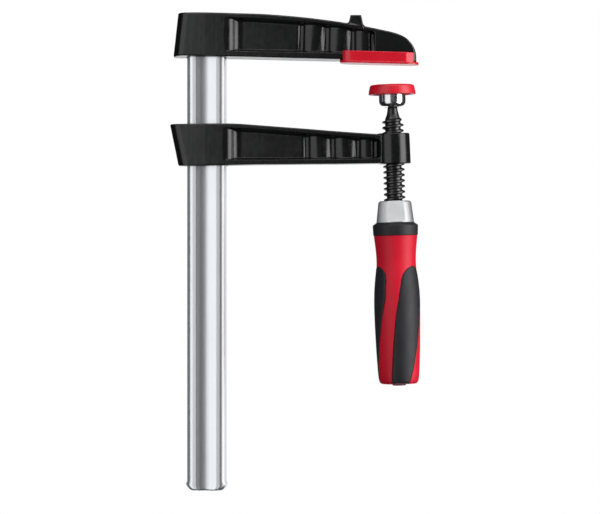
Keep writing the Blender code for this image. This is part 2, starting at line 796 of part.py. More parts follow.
# height, half the inlay's width in degrees
GRIP_HALF = (
    (0.0, 27.0), (5.5, 29.0), (20.0, 34.5), (34.0, 38.0),
    (49.0, 40.5), (61.0, 42.0), (73.0, 39.0),
)
GRIP_ROUND_FROM = 73.0  # the upper end is rounded off above this height
GRIP_ROUND_LENGTH = 12.0
GRIP_LAST_OUTLINE = 84.0  # the outline is held above this height
GRIP_MIN_HALF = 3.0  # degrees
GRIP_ROWS = (0.6, 2.4, 5.4, 11.0, 20.0, 33.0, 46.0, 55.0, 66.0, 75.0, 80.0, 83.0)  # heights


def grip_span(height):
    """Middle and half width of the first inlay, in degrees."""
    height = min(max(height, 0.0), GRIP_LAST_OUTLINE)
    half = along(GRIP_HALF, height)
    if height > GRIP_ROUND_FROM:
        share = (height - GRIP_ROUND_FROM) / GRIP_ROUND_LENGTH
        half *= math.sqrt(max(0.0, 1 - share**2))
    return along(GRIP_MIDDLE, height), max(half, GRIP_MIN_HALF)


def grip_shell(inner, outer, widen, bottom, top, turn):
    """The body between two offsets of the handle's surface, over one inlay."""
    heights = [bottom] + [h for h in GRIP_ROWS if h > bottom] + [top]
    verts, faces = [], []
    for offset in (inner, outer):
        for height in heights:
            middle, half = grip_span(height)
            radius = along(HANDLE_SHAPE, height)
            half += math.degrees(widen / radius)
            for k in range(GRIP_ACROSS + 1):
                degrees = -90.0 + turn + middle - half + 2 * half * k / GRIP_ACROSS
                angle = math.radians(degrees)
                r = radius + offset
                verts.append((r * math.cos(angle), r * math.sin(angle), HANDLE_END + height))
    rows, columns = len(heights), GRIP_ACROSS + 1
    layer_size = rows * columns
    for layer in (0, 1):
        for i in range(rows - 1):
            for k in range(GRIP_ACROSS):
                a = layer * layer_size + i * columns + k
                faces.append([a, a + 1, a + columns + 1, a + columns])
    # the rim: along the bottom, up one side, back along the top, down the other
    rim = list(range(columns))
    rim += [i * columns + columns - 1 for i in range(1, rows)]
    rim += [(rows - 1) * columns + k for k in range(columns - 2, -1, -1)]
    rim += [i * columns for i in range(rows - 2, 0, -1)]
    for a, b in zip(rim, rim[1:] + rim[:1]):
        faces.append([a, b, layer_size + b, layer_size + a])
    return verts, faces


def make_handle(frame):
    hole_top = HANDLE_END + PLUG_HOLE_DEPTH
    profile = [(PLUG_R + GAP, HANDLE_END), (11.0, HANDLE_END)]
    profile += [(radius, HANDLE_END + height) for height, radius in HANDLE_SHAPE]
    profile += [
        (SPIGOT_R, COLLAR_BOTTOM - 0.1),
        (SPIGOT_R, SPIGOT_TOP),
        (BORE_R, SPIGOT_TOP),
        (BORE_R, hole_top),
        (PLUG_R + GAP, hole_top),
    ]
    core = solid("handle_core", lathe(profile, 40), RED, frame, smooth=True)
    for n in range(GRIP_COUNT):
        turn = 360.0 / GRIP_COUNT * n
        recess = grip_shell(
            inner=-GRIP_DEPTH - GAP, outer=2.5, widen=GAP,
            bottom=-1.5, top=GRIP_TOP + 1.0, turn=turn,
        )
        cutter = solid(f"handle_core_grip_pocket_{n + 1}", recess, parent=frame)
        combine(core, cutter, "DIFFERENCE")
        panel = grip_shell(
            inner=-GRIP_DEPTH, outer=GRIP_PROUD, widen=0.0,
            bottom=GRIP_BOTTOM, top=GRIP_TOP, turn=turn,
        )
        solid(f"grip_panel_{n + 1}", panel, SOFT_BLACK, frame, smooth=True)


def make_plug(frame):
    profile = [
        (0.0, HANDLE_END - 1.1),
        (PLUG_R - 0.6, HANDLE_END - 1.1),
        (PLUG_R, HANDLE_END - 0.5),
        (PLUG_R, HANDLE_END + 5.0),
        (0.0, HANDLE_END + 5.0),
    ]
    solid("handle_end_plug", lathe(profile, 28), SOFT_BLACK, frame, smooth=True)


# ---- the whole clamp ----


def make_spindle_frame():
    """The empty that carries everything on the spindle."""
    frame = bpy.data.objects.new("spindle_axis", None)
    frame.location = Vector(BALL_CENTRE) * MM
    frame.rotation_euler = (0.0, -math.radians(CANT_DEG), 0.0)
    bpy.context.scene.collection.objects.link(frame)
    return frame


def main():
    clear_scene()
    frame = make_spindle_frame()
    make_rail()
    make_fixed_arm()
    make_jaw_pad()
    make_sliding_arm(frame)
    make_spindle(frame)
    make_snap_ring(frame)
    make_pressure_plate(frame)
    make_plate_cap(frame)
    make_ferrule(frame)
    make_collar(frame)
    make_handle(frame)
    make_plug(frame)
    bpy.context.view_layer.update()


main()
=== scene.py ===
# A bar clamp. The rail stands along z with its foot at z = 0. The fixed arm, at
# the top, and the sliding arm, below it, reach out along +x. y is the thickness.
# The spindle crosses the sliding arm near its end, with the swivel plate above
# and the handle below. Pieces are built in mm; the stage and the distances in
# the materials are in metres.
import json
import math

import bmesh
import bpy
import numpy as np
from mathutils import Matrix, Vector


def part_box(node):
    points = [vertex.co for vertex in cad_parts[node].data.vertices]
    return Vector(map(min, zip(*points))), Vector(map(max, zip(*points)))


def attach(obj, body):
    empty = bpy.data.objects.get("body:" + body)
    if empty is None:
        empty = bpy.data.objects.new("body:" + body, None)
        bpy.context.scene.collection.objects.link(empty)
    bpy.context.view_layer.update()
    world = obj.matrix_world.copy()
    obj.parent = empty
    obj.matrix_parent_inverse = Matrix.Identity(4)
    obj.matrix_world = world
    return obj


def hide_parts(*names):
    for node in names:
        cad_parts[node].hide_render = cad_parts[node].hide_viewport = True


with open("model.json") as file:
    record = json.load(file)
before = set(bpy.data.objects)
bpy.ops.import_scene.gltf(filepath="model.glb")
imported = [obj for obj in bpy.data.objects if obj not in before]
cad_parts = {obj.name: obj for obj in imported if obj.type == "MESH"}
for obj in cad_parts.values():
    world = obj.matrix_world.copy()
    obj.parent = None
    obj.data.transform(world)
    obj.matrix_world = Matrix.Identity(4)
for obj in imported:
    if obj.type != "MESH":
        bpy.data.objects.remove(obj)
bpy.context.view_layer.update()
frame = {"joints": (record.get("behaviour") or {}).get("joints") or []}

MM = 0.001

# ---------------------------------------------------------------------------
# spindle axes: the ball's centre is the origin and s runs up the spindle
# ---------------------------------------------------------------------------
screw_turn = next(joint for joint in frame["joints"] if joint["name"] == "screw_turn")
BALL = np.array(screw_turn["pos_m"]) * 1000.0
AXIS = np.array(screw_turn["axis"])
COS, SIN = AXIS[2], -AXIS[0]


def to_world(points):
    """Spindle axes to the part's frame."""
    x, y, s = np.asarray(points, float).T
    return np.stack([BALL[0] + COS * x - SIN * s, BALL[1] + y, BALL[2] + SIN * x + COS * s], 1)


def to_spindle(points):
    """The part's frame to spindle axes."""
    x, y, z = (points - BALL).T
    return np.stack([COS * x + SIN * z, y, -SIN * x + COS * z], 1)


# ---------------------------------------------------------------------------
# meshes
# ---------------------------------------------------------------------------
def make_mesh(name, verts, faces, sharp=None):
    """A smooth-shaded object; faces is an (n, 4) array or a list of loops.
    Edges steeper than sharp, in degrees, are marked sharp."""
    mesh = bpy.data.meshes.new(name)
    if isinstance(faces, np.ndarray):
        count, corners = faces.shape
        mesh.vertices.add(len(verts))
        mesh.vertices.foreach_set("co", (verts * MM).astype(np.float32).ravel())
        mesh.loops.add(count * corners)
        mesh.loops.foreach_set("vertex_index", faces.astype(np.int32).ravel())
        mesh.polygons.add(count)
        starts = np.arange(0, count * corners, corners, dtype=np.int32)
        mesh.polygons.foreach_set("loop_start", starts)
        mesh.update(calc_edges=True)
        mesh.validate()
    else:
        mesh.from_pydata([tuple(v) for v in verts * MM], [], faces)
        mesh.update()
    edit = bmesh.new()
    edit.from_mesh(mesh)
    bmesh.ops.recalc_face_normals(edit, faces=edit.faces)
    edit.to_mesh(mesh)
    edit.free()
    mesh.shade_smooth()
    if sharp is not None:
        mesh.set_sharp_from_angle(angle=math.radians(sharp))
    piece = bpy.data.objects.new(name, mesh)
    bpy.context.scene.collection.objects.link(piece)
    return piece


def add_piece(piece, body, node, look):
    piece.data.materials.append(look)
    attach(piece, body)
    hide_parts(node)


def add_face(faces, *loop):
    """Add a face without its repeated corners, unless it collapses."""
    loop = list(dict.fromkeys(int(v) for v in loop))
    if len(loop) > 2:
        faces.append(loop)


def add_ring(verts, radius, s, angles):
    """Add a ring about the spindle, or one point at radius 0; returns its indices."""
    if np.max(radius) < 1e-6:
        verts.append((0.0, 0.0, s))
        return [len(verts) - 1] * len(angles)
    verts.extend(zip(radius * np.cos(angles), radius * np.sin(angles), np.full(len(angles), s)))
    return range(len(verts) - len(angles), len(verts))


def loft(faces, rings):
    """Join each closed ring of vertices to the next."""
    for low, high in zip(rings, rings[1:]):
        for k in range(len(low)):
            after = (k + 1) % len(low)
            add_face(faces, low[k], low[after], high[after], high[k])


def lathe(name, profile, sides=128, shape=None, sharp=38):
    """A turned body from a closed loop of (radius, s). shape may vary the
    radius with the angle."""
    angles = np.arange(sides) * 2 * math.pi / sides
    verts, rings, faces = [], [], []
    for radius, s in profile:
        radii = shape(radius, s, angles) if shape else radius
        rings.append(add_ring(verts, radii, s, angles))
    loft(faces, rings + rings[:1])
    return make_mesh(name, to_world(verts), faces, sharp)


def arc(centre_r, centre_s, radius, start, end, steps=6):
    """Points of a profile along an arc, angles in degrees from +r towards +s."""
    out = []
    for k in range(steps + 1):
        angle = math.radians(start + (end - start) * k / steps)
        out.append((centre_r + radius * math.cos(angle), centre_s + radius * math.sin(angle)))
    return out


# ---------------------------------------------------------------------------
# curves
# ---------------------------------------------------------------------------
def clamp(value):
    return np.clip(value, 0, 1)


def smooth(share):
    return share * share * (3 - 2 * share)


def curve(points, x):
    """A smooth monotone curve through (x, y) points, held flat beyond the ends."""
    px, py = np.array(points, float).T
    gap = np.diff(px)
    grade = np.diff(py) / gap
    slope = np.zeros(len(px))
    for i in range(1, len(px) - 1):
        if grade[i - 1] * grade[i] > 0:
            before, after = 2 * gap[i] + gap[i - 1], gap[i] + 2 * gap[i - 1]
            slope[i] = (before + after) / (before / grade[i - 1] + after / grade[i])
    slope[0], slope[-1] = grade[0], grade[-1]
    x = np.clip(np.asarray(x, float), px[0], px[-1])
    k = np.clip(np.searchsorted(px, x, side="right") - 1, 0, len(px) - 2)
    t = (x - px[k]) / gap[k]
    return (
        py[k] * (2 * t**3 - 3 * t**2 + 1)
        + gap[k] * slope[k] * (t**3 - 2 * t**2 + t)
        + py[k + 1] * (-2 * t**3 + 3 * t**2)
        + gap[k] * slope[k + 1] * (t**3 - t**2)
    )


def spline(points, per=14):
    """A Catmull-Rom curve through 2-D points, in per steps between each two."""
    p = np.array(points, float)
    p = np.vstack([2 * p[0] - p[1], p, 2 * p[-1] - p[-2]])
    out = []
    for i in range(1, len(p) - 2):
        for k in range(per):
            t = k / per
            out.append(
                0.5
                * (
                    2 * p[i]
                    + (p[i + 1] - p[i - 1]) * t
                    + (2 * p[i - 1] - 5 * p[i] + 4 * p[i + 1] - p[i + 2]) * t**2
                    + (3 * p[i] - p[i - 1] - 3 * p[i + 1] + p[i + 2]) * t**3
                )
            )
    out.append(p[-2])
    return np.array(out)


# ---------------------------------------------------------------------------
# castings and moulded parts: a distance field, negative inside, meshed on a
# regular grid and then drawn onto the exact surface
# ---------------------------------------------------------------------------
PLANE_STEP = 0.2
PROJECTIONS = 3  # times the vertices are moved onto the surface
PROBE = 0.03  # offset for measuring the field's gradient
LEAST_GRADIENT = 0.08  # floor under the squared gradient
LONGEST_MOVE = 0.35  # of a grid cell, for one projection


def rounded_max(first, second, radius):
    """Intersection with a rounded edge."""
    u, v = np.maximum(first + radius, 0), np.maximum(second + radius, 0)
    return np.minimum(np.maximum(first, second), -radius) + np.sqrt(u * u + v * v)


def rounded_min(first, second, radius):
    """Union with a fillet."""
    u, v = np.maximum(radius - first, 0), np.maximum(radius - second, 0)
    return np.maximum(np.minimum(first, second), radius) - np.sqrt(u * u + v * v)


def polygon_distance(polygon, x, z):
    """Signed distance to a closed polygon, negative inside."""
    best = np.full(x.shape, 1e9)
    inside = np.zeros(x.shape, bool)
    for i in range(len(polygon)):
        ax, az = polygon[i]
        bx, bz = polygon[(i + 1) % len(polygon)]
        ex, ez = bx - ax, bz - az
        length2 = ex * ex + ez * ez
        if length2 < 1e-12:
            continue
        wx, wz = x - ax, z - az
        t = clamp((wx * ex + wz * ez) / length2)
        best = np.minimum(best, (wx - ex * t) ** 2 + (wz - ez * t) ** 2)
        crossing = (az > z) != (bz > z)
        if abs(ez) > 1e-12:
            inside ^= crossing & (x < ax + ex * (z - az) / ez)
    distance = np.sqrt(best)
    return np.where(inside, -distance, distance)


def line_distance(start, end, x, z):
    """Signed distance to an upward line, negative on its +x side."""
    (x1, z1), (x2, z2) = start, end
    nx, nz = -(z2 - z1), (x2 - x1)
    return ((x - x1) * nx + (z - z1) * nz) / math.hypot(nx, nz)


class Plane:
    """A function of (x, z), tabulated finely and read back by interpolation."""

    def __init__(self, x_low, z_low, table):
        self.x_low, self.z_low, self.table = x_low, z_low, table

    @classmethod
    def of(cls, x_range, z_range, function):
        xs = np.arange(x_range[0], x_range[1] + PLANE_STEP, PLANE_STEP)
        zs = np.arange(z_range[0], z_range[1] + PLANE_STEP, PLANE_STEP)
        x, z = np.meshgrid(xs, zs, indexing="ij")
        return cls(x_range[0], z_range[0], function(x, z))

    def blur(self, sigma):
        reach = max(1, int(3 * sigma / PLANE_STEP))
        kernel = np.exp(-0.5 * (np.arange(-reach, reach + 1) * PLANE_STEP / sigma) ** 2)
        kernel /= kernel.sum()
        for axis in (0, 1):
            pad = [(0, 0), (0, 0)]
            pad[axis] = (reach, reach)
            padded = np.pad(self.table, pad, mode="edge")
            out = np.zeros_like(self.table)
            for i, weight in enumerate(kernel):
                part = [slice(None), slice(None)]
                part[axis] = slice(i, i + self.table.shape[axis])
                out += weight * padded[tuple(part)]
            self.table = out
        return self

    def stretch(self):
        """How much longer the surface over the plane is than the plane."""
        gx, gz = np.gradient(self.table, PLANE_STEP)
        return Plane(self.x_low, self.z_low, np.sqrt(1 + gx * gx + gz * gz))

    def __call__(self, x, z):
        table = self.table
        fx = np.clip((x - self.x_low) / PLANE_STEP, 0, table.shape[0] - 1.001)
        fz = np.clip((z - self.z_low) / PLANE_STEP, 0, table.shape[1] - 1.001)
        i, k = fx.astype(int), fz.astype(int)
        u, v = fx - i, fz - k
        near = table[i, k] * (1 - u) + table[i + 1, k] * u
        far = table[i, k + 1] * (1 - u) + table[i + 1, k + 1] * u
        return near * (1 - v) + far * v


def surface(field, low, high, cell):
    """A closed quad mesh of the surface where field(points) is zero."""
    low, high = np.array(low, float), np.array(high, float)
    count = np.ceil((high - low) / cell).astype(int) + 1
    axes = [low[i] + cell * np.arange(count[i]) for i in range(3)]
    values = np.empty(tuple(count), np.float32)
    yy, zz = np.meshgrid(axes[1], axes[2], indexing="ij")
    for i, x in enumerate(axes[0]):
        points = np.stack([np.full(yy.size, x), yy.ravel(), zz.ravel()], 1)
        values[i] = field(points).reshape(yy.shape)

    # one vertex in each cell the surface crosses, the mean of its edge crossings
    inside = values < 0
    nx, ny, nz = count
    corners = [(i, j, k) for i in (0, 1) for j in (0, 1) for k in (0, 1)]
    total = np.zeros((nx - 1, ny - 1, nz - 1), np.int8)
    for i, j, k in corners:
        total += inside[i : nx - 1 + i, j : ny - 1 + j, k : nz - 1 + k]
    active = (total > 0) & (total < 8)
    ids = np.full(active.shape, -1, np.int64)
    cells = np.argwhere(active)
    ids[active] = np.arange(len(cells))
    at_corner = {c: values[tuple((cells + c).T)].astype(float) for c in corners}
    sums, hits = np.zeros((len(cells), 3)), np.zeros(len(cells))
    for corner in corners:
        for axis in range(3):
            if corner[axis]:
                continue
            other = tuple(1 if i == axis else corner[i] for i in range(3))
            here, there = at_corner[corner], at_corner[other]
            cut = (here < 0) != (there < 0)
            sums[cut] += np.array(corner, float)
            sums[cut, axis] += here[cut] / (here[cut] - there[cut])
            hits[cut] += 1
    verts = low + cell * (cells + sums / hits[:, None])

    # one quad round each grid edge the surface crosses
    quads = []
    unit = np.eye(3, dtype=int)
    for axis in range(3):
        u, v = (axis + 1) % 3, (axis + 2) % 3
        edges = np.argwhere(np.diff(inside, axis=axis))
        keep = (edges[:, u] >= 1) & (edges[:, v] >= 1)
        keep &= (edges[:, u] < count[u] - 1) & (edges[:, v] < count[v] - 1)
        edges = edges[keep]
        around = (unit[u] + unit[v], unit[v], 0, unit[u])
        quad = np.stack([ids[tuple((edges - offset).T)] for offset in around], 1)
        inward = ~inside[tuple(edges.T)]
        quad[inward] = quad[inward][:, ::-1]
        quads.append(quad)

    for _ in range(PROJECTIONS):
        value = field(verts)
        gradient = np.empty_like(verts)
        for axis in range(3):
            step = PROBE * unit[axis]
            gradient[:, axis] = (field(verts + step) - field(verts - step)) / (2 * PROBE)
        steepness = np.maximum((gradient * gradient).sum(1), LEAST_GRADIENT)
        move = -gradient * (value / steepness)[:, None]
        length = np.linalg.norm(move, axis=1)
        limit = LONGEST_MOVE * cell / np.maximum(length, 1e-9)
        verts = verts + move * np.minimum(1.0, limit)[:, None]
    return verts, np.concatenate(quads)


# ---------------------------------------------------------------------------
# materials
# ---------------------------------------------------------------------------
class Nodes:
    """A node tree, with short ways to add and link its nodes."""

    def __init__(self, owner, clear=True):
        owner.use_nodes = True
        self.tree = owner.node_tree
        if clear:
            self.tree.nodes.clear()

    def feed(self, node, inputs):
        """Set inputs; each is given as a value or as the socket to link."""
        for key, value in inputs.items():
            if isinstance(value, bpy.types.NodeSocket):
                self.tree.links.new(value, node.inputs[key])
            else:
                node.inputs[key].default_value = value

    def add(self, kind, inputs={}, **settings):
        node = self.tree.nodes.new("ShaderNode" + kind)
        for key, value in settings.items():
            setattr(node, key, value)
        self.feed(node, inputs)
        return node

    def maths(self, operation, first, second):
        return self.add("Math", {0: first, 1: second}, operation=operation).outputs[0]

    def remap(self, value, target, source=(0.3, 0.7), kind="LINEAR"):
        """Map source onto target; the default source is the span of a noise."""
        inputs = {"Value": value, "From Min": source[0], "From Max": source[1]}
        inputs |= {"To Min": target[0], "To Max": target[1]}
        return self.add("MapRange", inputs, interpolation_type=kind).outputs["Result"]

    def blend(self, factor, first, second):
        inputs = {"Factor": factor, "A": first, "B": second}
        return self.add("Mix", inputs, data_type="RGBA").outputs["Result"]

    def mix_shader(self, factor, first, second):
        return self.add("MixShader", {0: factor, 1: first, 2: second}).outputs[0]


class Look(Nodes):
    """A principled material driven by noise in object coordinates."""

    def __init__(self, name):
        self.material = bpy.data.materials.new(name)
        super().__init__(self.material, clear=False)
        self.coord = self.add("TexCoord").outputs["Object"]

    def noise(self, scale, detail, rough, stretch=None):
        coord = self.coord
        if stretch:
            coord = self.add("Mapping", {"Scale": stretch, "Vector": coord}).outputs["Vector"]
        inputs = {"Scale": scale, "Detail": detail, "Roughness": rough, "Vector": coord}
        return self.add("TexNoise", inputs).outputs["Fac"]

    def tint(self, noise, dark, light):
        return self.blend(self.remap(noise, (0, 1)), dark, light)

    def finish(self, colour, roughness, bumps, **values):
        """Link the shader. bumps are (height, strength, distance), each laid
        over the one before; values are further inputs, _ standing for a space."""
        inputs = {"Base Color": colour, "Roughness": roughness}
        inputs |= {key.replace("_", " "): value for key, value in values.items()}
        for height, strength, distance in bumps:
            relief = {"Height": height, "Strength": strength, "Distance": distance}
            if "Normal" in inputs:
                relief["Normal"] = inputs["Normal"]
            inputs["Normal"] = self.add("Bump", relief).outputs["Normal"]
        self.feed(self.tree.nodes["Principled BSDF"], inputs)
        return self.material


def look_iron():
    look = Look("black_cast_iron")
    fine = look.noise(scale=900, detail=4, rough=0.6)
    mid = look.noise(scale=230, detail=3, rough=0.5)
    broad = look.noise(scale=45, detail=2, rough=0.5)
    return look.finish(
        colour=look.tint(broad, (0.0026, 0.0028, 0.0030, 1), (0.0040, 0.0042, 0.0045, 1)),
        roughness=look.remap(mid, (0.20, 0.27)),
        bumps=[(fine, 0.22, 0.00004), (mid, 0.16, 0.00008)],
        Specular_IOR_Level=0.5,
    )


def look_rail():
    """Streaks drawn out along z."""
    look = Look("drawn_steel")
    streak = look.noise(scale=1.0, detail=3, rough=0.6, stretch=(1500, 1500, 1.4))
    wide = look.noise(scale=1.0, detail=2, rough=0.5, stretch=(420, 420, 2.5))
    spots = look.noise(scale=60, detail=3, rough=0.6)
    mixed = look.maths("ADD", look.remap(wide, (0.0, 0.75)), look.remap(spots, (0.0, 0.25)))
    return look.finish(
        colour=look.blend(mixed, (0.675, 0.69, 0.715, 1), (0.79, 0.81, 0.83, 1)),
        roughness=look.remap(streak, (0.31, 0.36)),
        bumps=[(streak, 0.10, 0.000012)],
        Metallic=1.0,
    )


def look_red(name, dark, light, roughness, grain, shine=0.5):
    look = Look(name)
    fine = look.noise(scale=grain, detail=3, rough=0.5)
    broad = look.noise(scale=60, detail=2, rough=0.5)
    return look.finish(
        colour=look.tint(broad, dark, light),
        roughness=look.remap(broad, roughness),
        bumps=[(fine, 0.10, 0.00004)],
        Specular_IOR_Level=shine,
    )


def look_soft():
    look = Look("soft_black")
    fine = look.noise(scale=1500, detail=3, rough=0.6)
    broad = look.noise(scale=80, detail=2, rough=0.5)
    return look.finish(
        colour=look.tint(broad, (0.0066, 0.0066, 0.0092, 1), (0.0092, 0.0092, 0.0124, 1)),
        roughness=look.remap(broad, (0.50, 0.60)),
        bumps=[(fine, 0.35, 0.00005)],
        Specular_IOR_Level=0.42,
        Sheen_Weight=0.06,
        Sheen_Roughness=0.4,
    )


def look_oxide():
    look = Look("black_oxide")
    fine = look.noise(scale=700, detail=3, rough=0.6)
    broad = look.noise(scale=150, detail=2, rough=0.5)
    return look.finish(
        colour=look.tint(broad, (0.034, 0.034, 0.035, 1), (0.080, 0.080, 0.080, 1)),
        roughness=look.remap(fine, (0.24, 0.40)),
        bumps=[(fine, 0.25, 0.00004)],
        Metallic=0.85,
    )


def look_plated():
    look = Look("plated_steel")
    fine = look.noise(scale=500, detail=3, rough=0.6)
    return look.finish(
        colour=look.tint(fine, (0.64, 0.64, 0.66, 1), (0.74, 0.74, 0.76, 1)),
        roughness=look.remap(fine, (0.14, 0.22)),
        bumps=[(fine, 0.06, 0.00002)],
        Metallic=1.0,
    )


def look_zinc():
    """A satin finish, with painted shade where it is seen edge-on: the colour turns dark towards the
    outline.
    """
    look = Look("satin_zinc")
    fine = look.noise(scale=900, detail=4, rough=0.6)
    broad = look.noise(scale=140, detail=3, rough=0.5)
    satin = look.tint(broad, (0.92, 0.925, 0.94, 1), (0.97, 0.975, 0.985, 1))
    # painted shade: the base colour darkens towards the outline, where the surface is seen edge-on
    facing = look.add("LayerWeight", {"Blend": 0.5}).outputs["Facing"]
    painted_edge_shade = look.remap(facing, (0.0, 1.0), source=(0.28, 0.84))
    return look.finish(
        colour=look.blend(painted_edge_shade, satin, (0.17, 0.172, 0.19, 1)),
        roughness=look.remap(broad, (0.44, 0.54)),
        bumps=[(fine, 0.25, 0.00004), (broad, 0.12, 0.00012)],
        Metallic=0.35,
    )


IRON = look_iron()
RAIL = look_rail()
RED_HANDLE = look_red(
    "handle_red", dark=(0.59, 0.0050, 0.0230, 1), light=(0.64, 0.0065, 0.0265, 1),
    roughness=(0.44, 0.52), grain=900, shine=0.27,
)
RED_PAD = look_red(
    "pad_red", dark=(0.57, 0.0035, 0.0175, 1), light=(0.62, 0.0045, 0.0200, 1),
    roughness=(0.22, 0.28), grain=600,
)
RED_CAP = look_red(
    "cap_red", dark=(0.57, 0.0040, 0.0185, 1), light=(0.62, 0.0050, 0.0210, 1),
    roughness=(0.36, 0.43), grain=600,
)
SOFT = look_soft()
OXIDE = look_oxide()
PLATED = look_plated()
ZINC = look_zinc()

# ---------------------------------------------------------------------------
# rail: rounded edges, a shallow groove down each broad face, a swaged foot
# ---------------------------------------------------------------------------
RAIL_WIDTH, RAIL_THICKNESS = 28.2, 12.0
RAIL_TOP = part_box("rail")[1][2] * 1000.0
RAIL_CORNER = 4.4
GROOVE_WIDTH, GROOVE_DEPTH = 13.7, 1.3
GROOVE_LIP = 0.25  # flat left clear of the groove
GROOVE_STEP = 0.06  # sharp step at the groove's edge
SWAGE_FROM, SWAGE_BLEND = 9.0, 5.0  # |x| where the swage begins, and its run-in

# height, then growth of the half width and of the half thickness
RAIL_FOOT = [
    (0.0, -3.1, -0.9), (0.2, -2.7, -0.6), (0.7, -2.05, -0.2), (1.4, -1.3, 0.0),
    (2.2, -0.6, 0.0), (3.0, 0.0, 0.0), (3.7, 0.45, 0.0), (4.3, 0.70, 0.0),
    (4.9, 0.74, 0.0), (5.5, 0.50, 0.0), (6.1, 0.16, 0.0), (6.8, 0.0, 0.0),
]
# the same, with the height measured down from the top
RAIL_HEAD = [(0.5, -0.12, -0.12), (0.12, -0.4, -0.4), (0.0, -0.8, -0.8)]


def rail_outline():
    half_w, half_t = RAIL_WIDTH / 2, RAIL_THICKNESS / 2
    corner, edge = RAIL_CORNER, GROOVE_WIDTH / 2
    radius = (edge**2 + GROOVE_DEPTH**2) / (2 * GROOVE_DEPTH)
    right = [
        (half_w - corner * (1 - math.cos(a)), half_t - corner * (1 - math.sin(a)))
        for a in np.radians(np.linspace(0, 90, 17))
    ]
    land = np.linspace(half_w - corner - 0.25, edge + GROOVE_LIP, 5)
    right += [(x, half_t) for x in land]
    groove = []
    for x in np.linspace(edge, -edge, 41):
        sunk = math.sqrt(radius**2 - x * x) - (radius - GROOVE_DEPTH)
        groove.append((x, half_t - sunk))
    groove[0] = (edge, half_t - GROOVE_STEP)
    groove[-1] = (-edge, half_t - GROOVE_STEP)
    upper = right + groove + [(-x, y) for x, y in reversed(right)]
    return np.array(upper + [(-x, -y) for x, y in upper])


def build_rail():
    half_w, half_t = RAIL_WIDTH / 2, RAIL_THICKNESS / 2
    outline = rail_outline()
    levels = RAIL_FOOT + [(z, 0.0, 0.0) for z in np.linspace(12.0, RAIL_TOP - 1.2, 36)]
    levels += [(RAIL_TOP - down, dx, dy) for down, dx, dy in RAIL_HEAD]
    verts = []
    for z, dx, dy in levels:
        if dx > 0:  # the swage only pushes the narrow edges out
            push = clamp((np.abs(outline[:, 0]) - SWAGE_FROM) / SWAGE_BLEND)
            x = outline[:, 0] + np.sign(outline[:, 0]) * dx * push
        else:
            x = outline[:, 0] * (half_w + dx) / half_w
        y = outline[:, 1] * (half_t + dy) / half_t
        verts.append(np.stack([x, y, np.full(len(x), z)], 1))
    size = len(outline)
    rings = [range(size * i, size * (i + 1)) for i in range(len(levels))]
    faces = []
    loft(faces, rings)
    faces += [list(rings[0])[::-1], list(rings[-1])]
    piece = make_mesh("rail_bar", np.concatenate(verts), faces, sharp=24)
    add_piece(piece, "rail_assembly", "rail", RAIL)


# ---------------------------------------------------------------------------
# both arms: iron castings with a recess in each face. The recess floor falls
# from the rail side, then runs on in scallops divided by low lines.
# ---------------------------------------------------------------------------
ARM_CELL = 0.44
HALF_AT_RAIL, HALF_AT_TIP = 10.5, 8.6  # half thickness
REAR_ROUND = 7.6  # upright corners on the side away from the tip
RECESS_DEPTH = 6.9
LOW_LINE = 1.0  # drop of the floor into its first low line
FLANK_CONVEX, FLANK_CONCAVE = 8.5, 7.5  # radii of the fall from the face
MASK_GROWTH = 1.6  # the recess's outline beyond its table
# widening per mm out of the recess, and the scale that keeps it a distance
END_DRAFT = 0.03
BROW_DRAFT, BROW_SCALE = 0.34, 0.94
SILL_DRAFT, SILL_SCALE = 0.27, 0.965

rng = np.random.default_rng(41)
WAVES = [(rng.normal(size=3), rng.uniform(0, 6.28)) for _ in range(14)]


def ripple(points, scale):
    """A soft seeded unevenness between about -1 and 1."""
    out = np.zeros(len(points))
    for k, (direction, phase) in enumerate(WAVES):
        length = scale * (0.6 + 0.09 * k)
        wave = direction / np.linalg.norm(direction) * (2 * math.pi / length)
        out += np.sin(points @ wave + phase)
    return out / 5.0


def cast_skin(body, points):
    """The uneven skin of a casting: a fine ripple and a broad one."""
    return body + 0.009 * ripple(points, 5.0) + 0.035 * ripple(points[:, ::-1], 18.0)


def arm_half(x, tip):
    return HALF_AT_RAIL + (HALF_AT_TIP - HALF_AT_RAIL) * clamp(x / tip)


def flank(x, slope):
    """A smooth step down at x >= 0: convex, straight at slope degrees, concave."""
    convex, concave, angle = FLANK_CONVEX, FLANK_CONCAVE, math.radians(slope)
    sine, level, tangent = math.sin(angle), 1 - math.cos(angle), math.tan(angle)
    x1 = convex * sine
    x2 = x1 + (RECESS_DEPTH - (convex + concave) * level) / tangent
    x3 = x2 + concave * sine
    t = np.clip(x, 0, x1)
    out = convex - np.sqrt(np.maximum(convex * convex - t * t, 0))
    out = np.where(x > x1, convex * level + (x - x1) * tangent, out)
    t = np.clip(x3 - x, 0, concave * sine)
    foot = RECESS_DEPTH - (concave - np.sqrt(concave * concave - t * t))
    out = np.where(x > x2, foot, out)
    return np.where(x <= 0, 0.0, out)


def drop(share):
    """0 to 1: a wide convex shoulder, then a tight concave foot."""
    share = clamp(share)
    return np.where(share < 0.65, 1.538 * share * share, 1 - 2.857 * (1 - share) ** 2)


# direction at the start and end in degrees, radius
SCALLOP_ARCS = (
    (0, -7, 2.4), (-7, -32, 3.8), (-32, -55, 1.9), (-55, -32, 1.9), (-32, -7, 9.5),
    (-7, 24, 11.0), (24, 42, 9.0), (42, 24, 1.2), (24, 0, 1.9),
)
SCALLOP_GAIN = 1.05


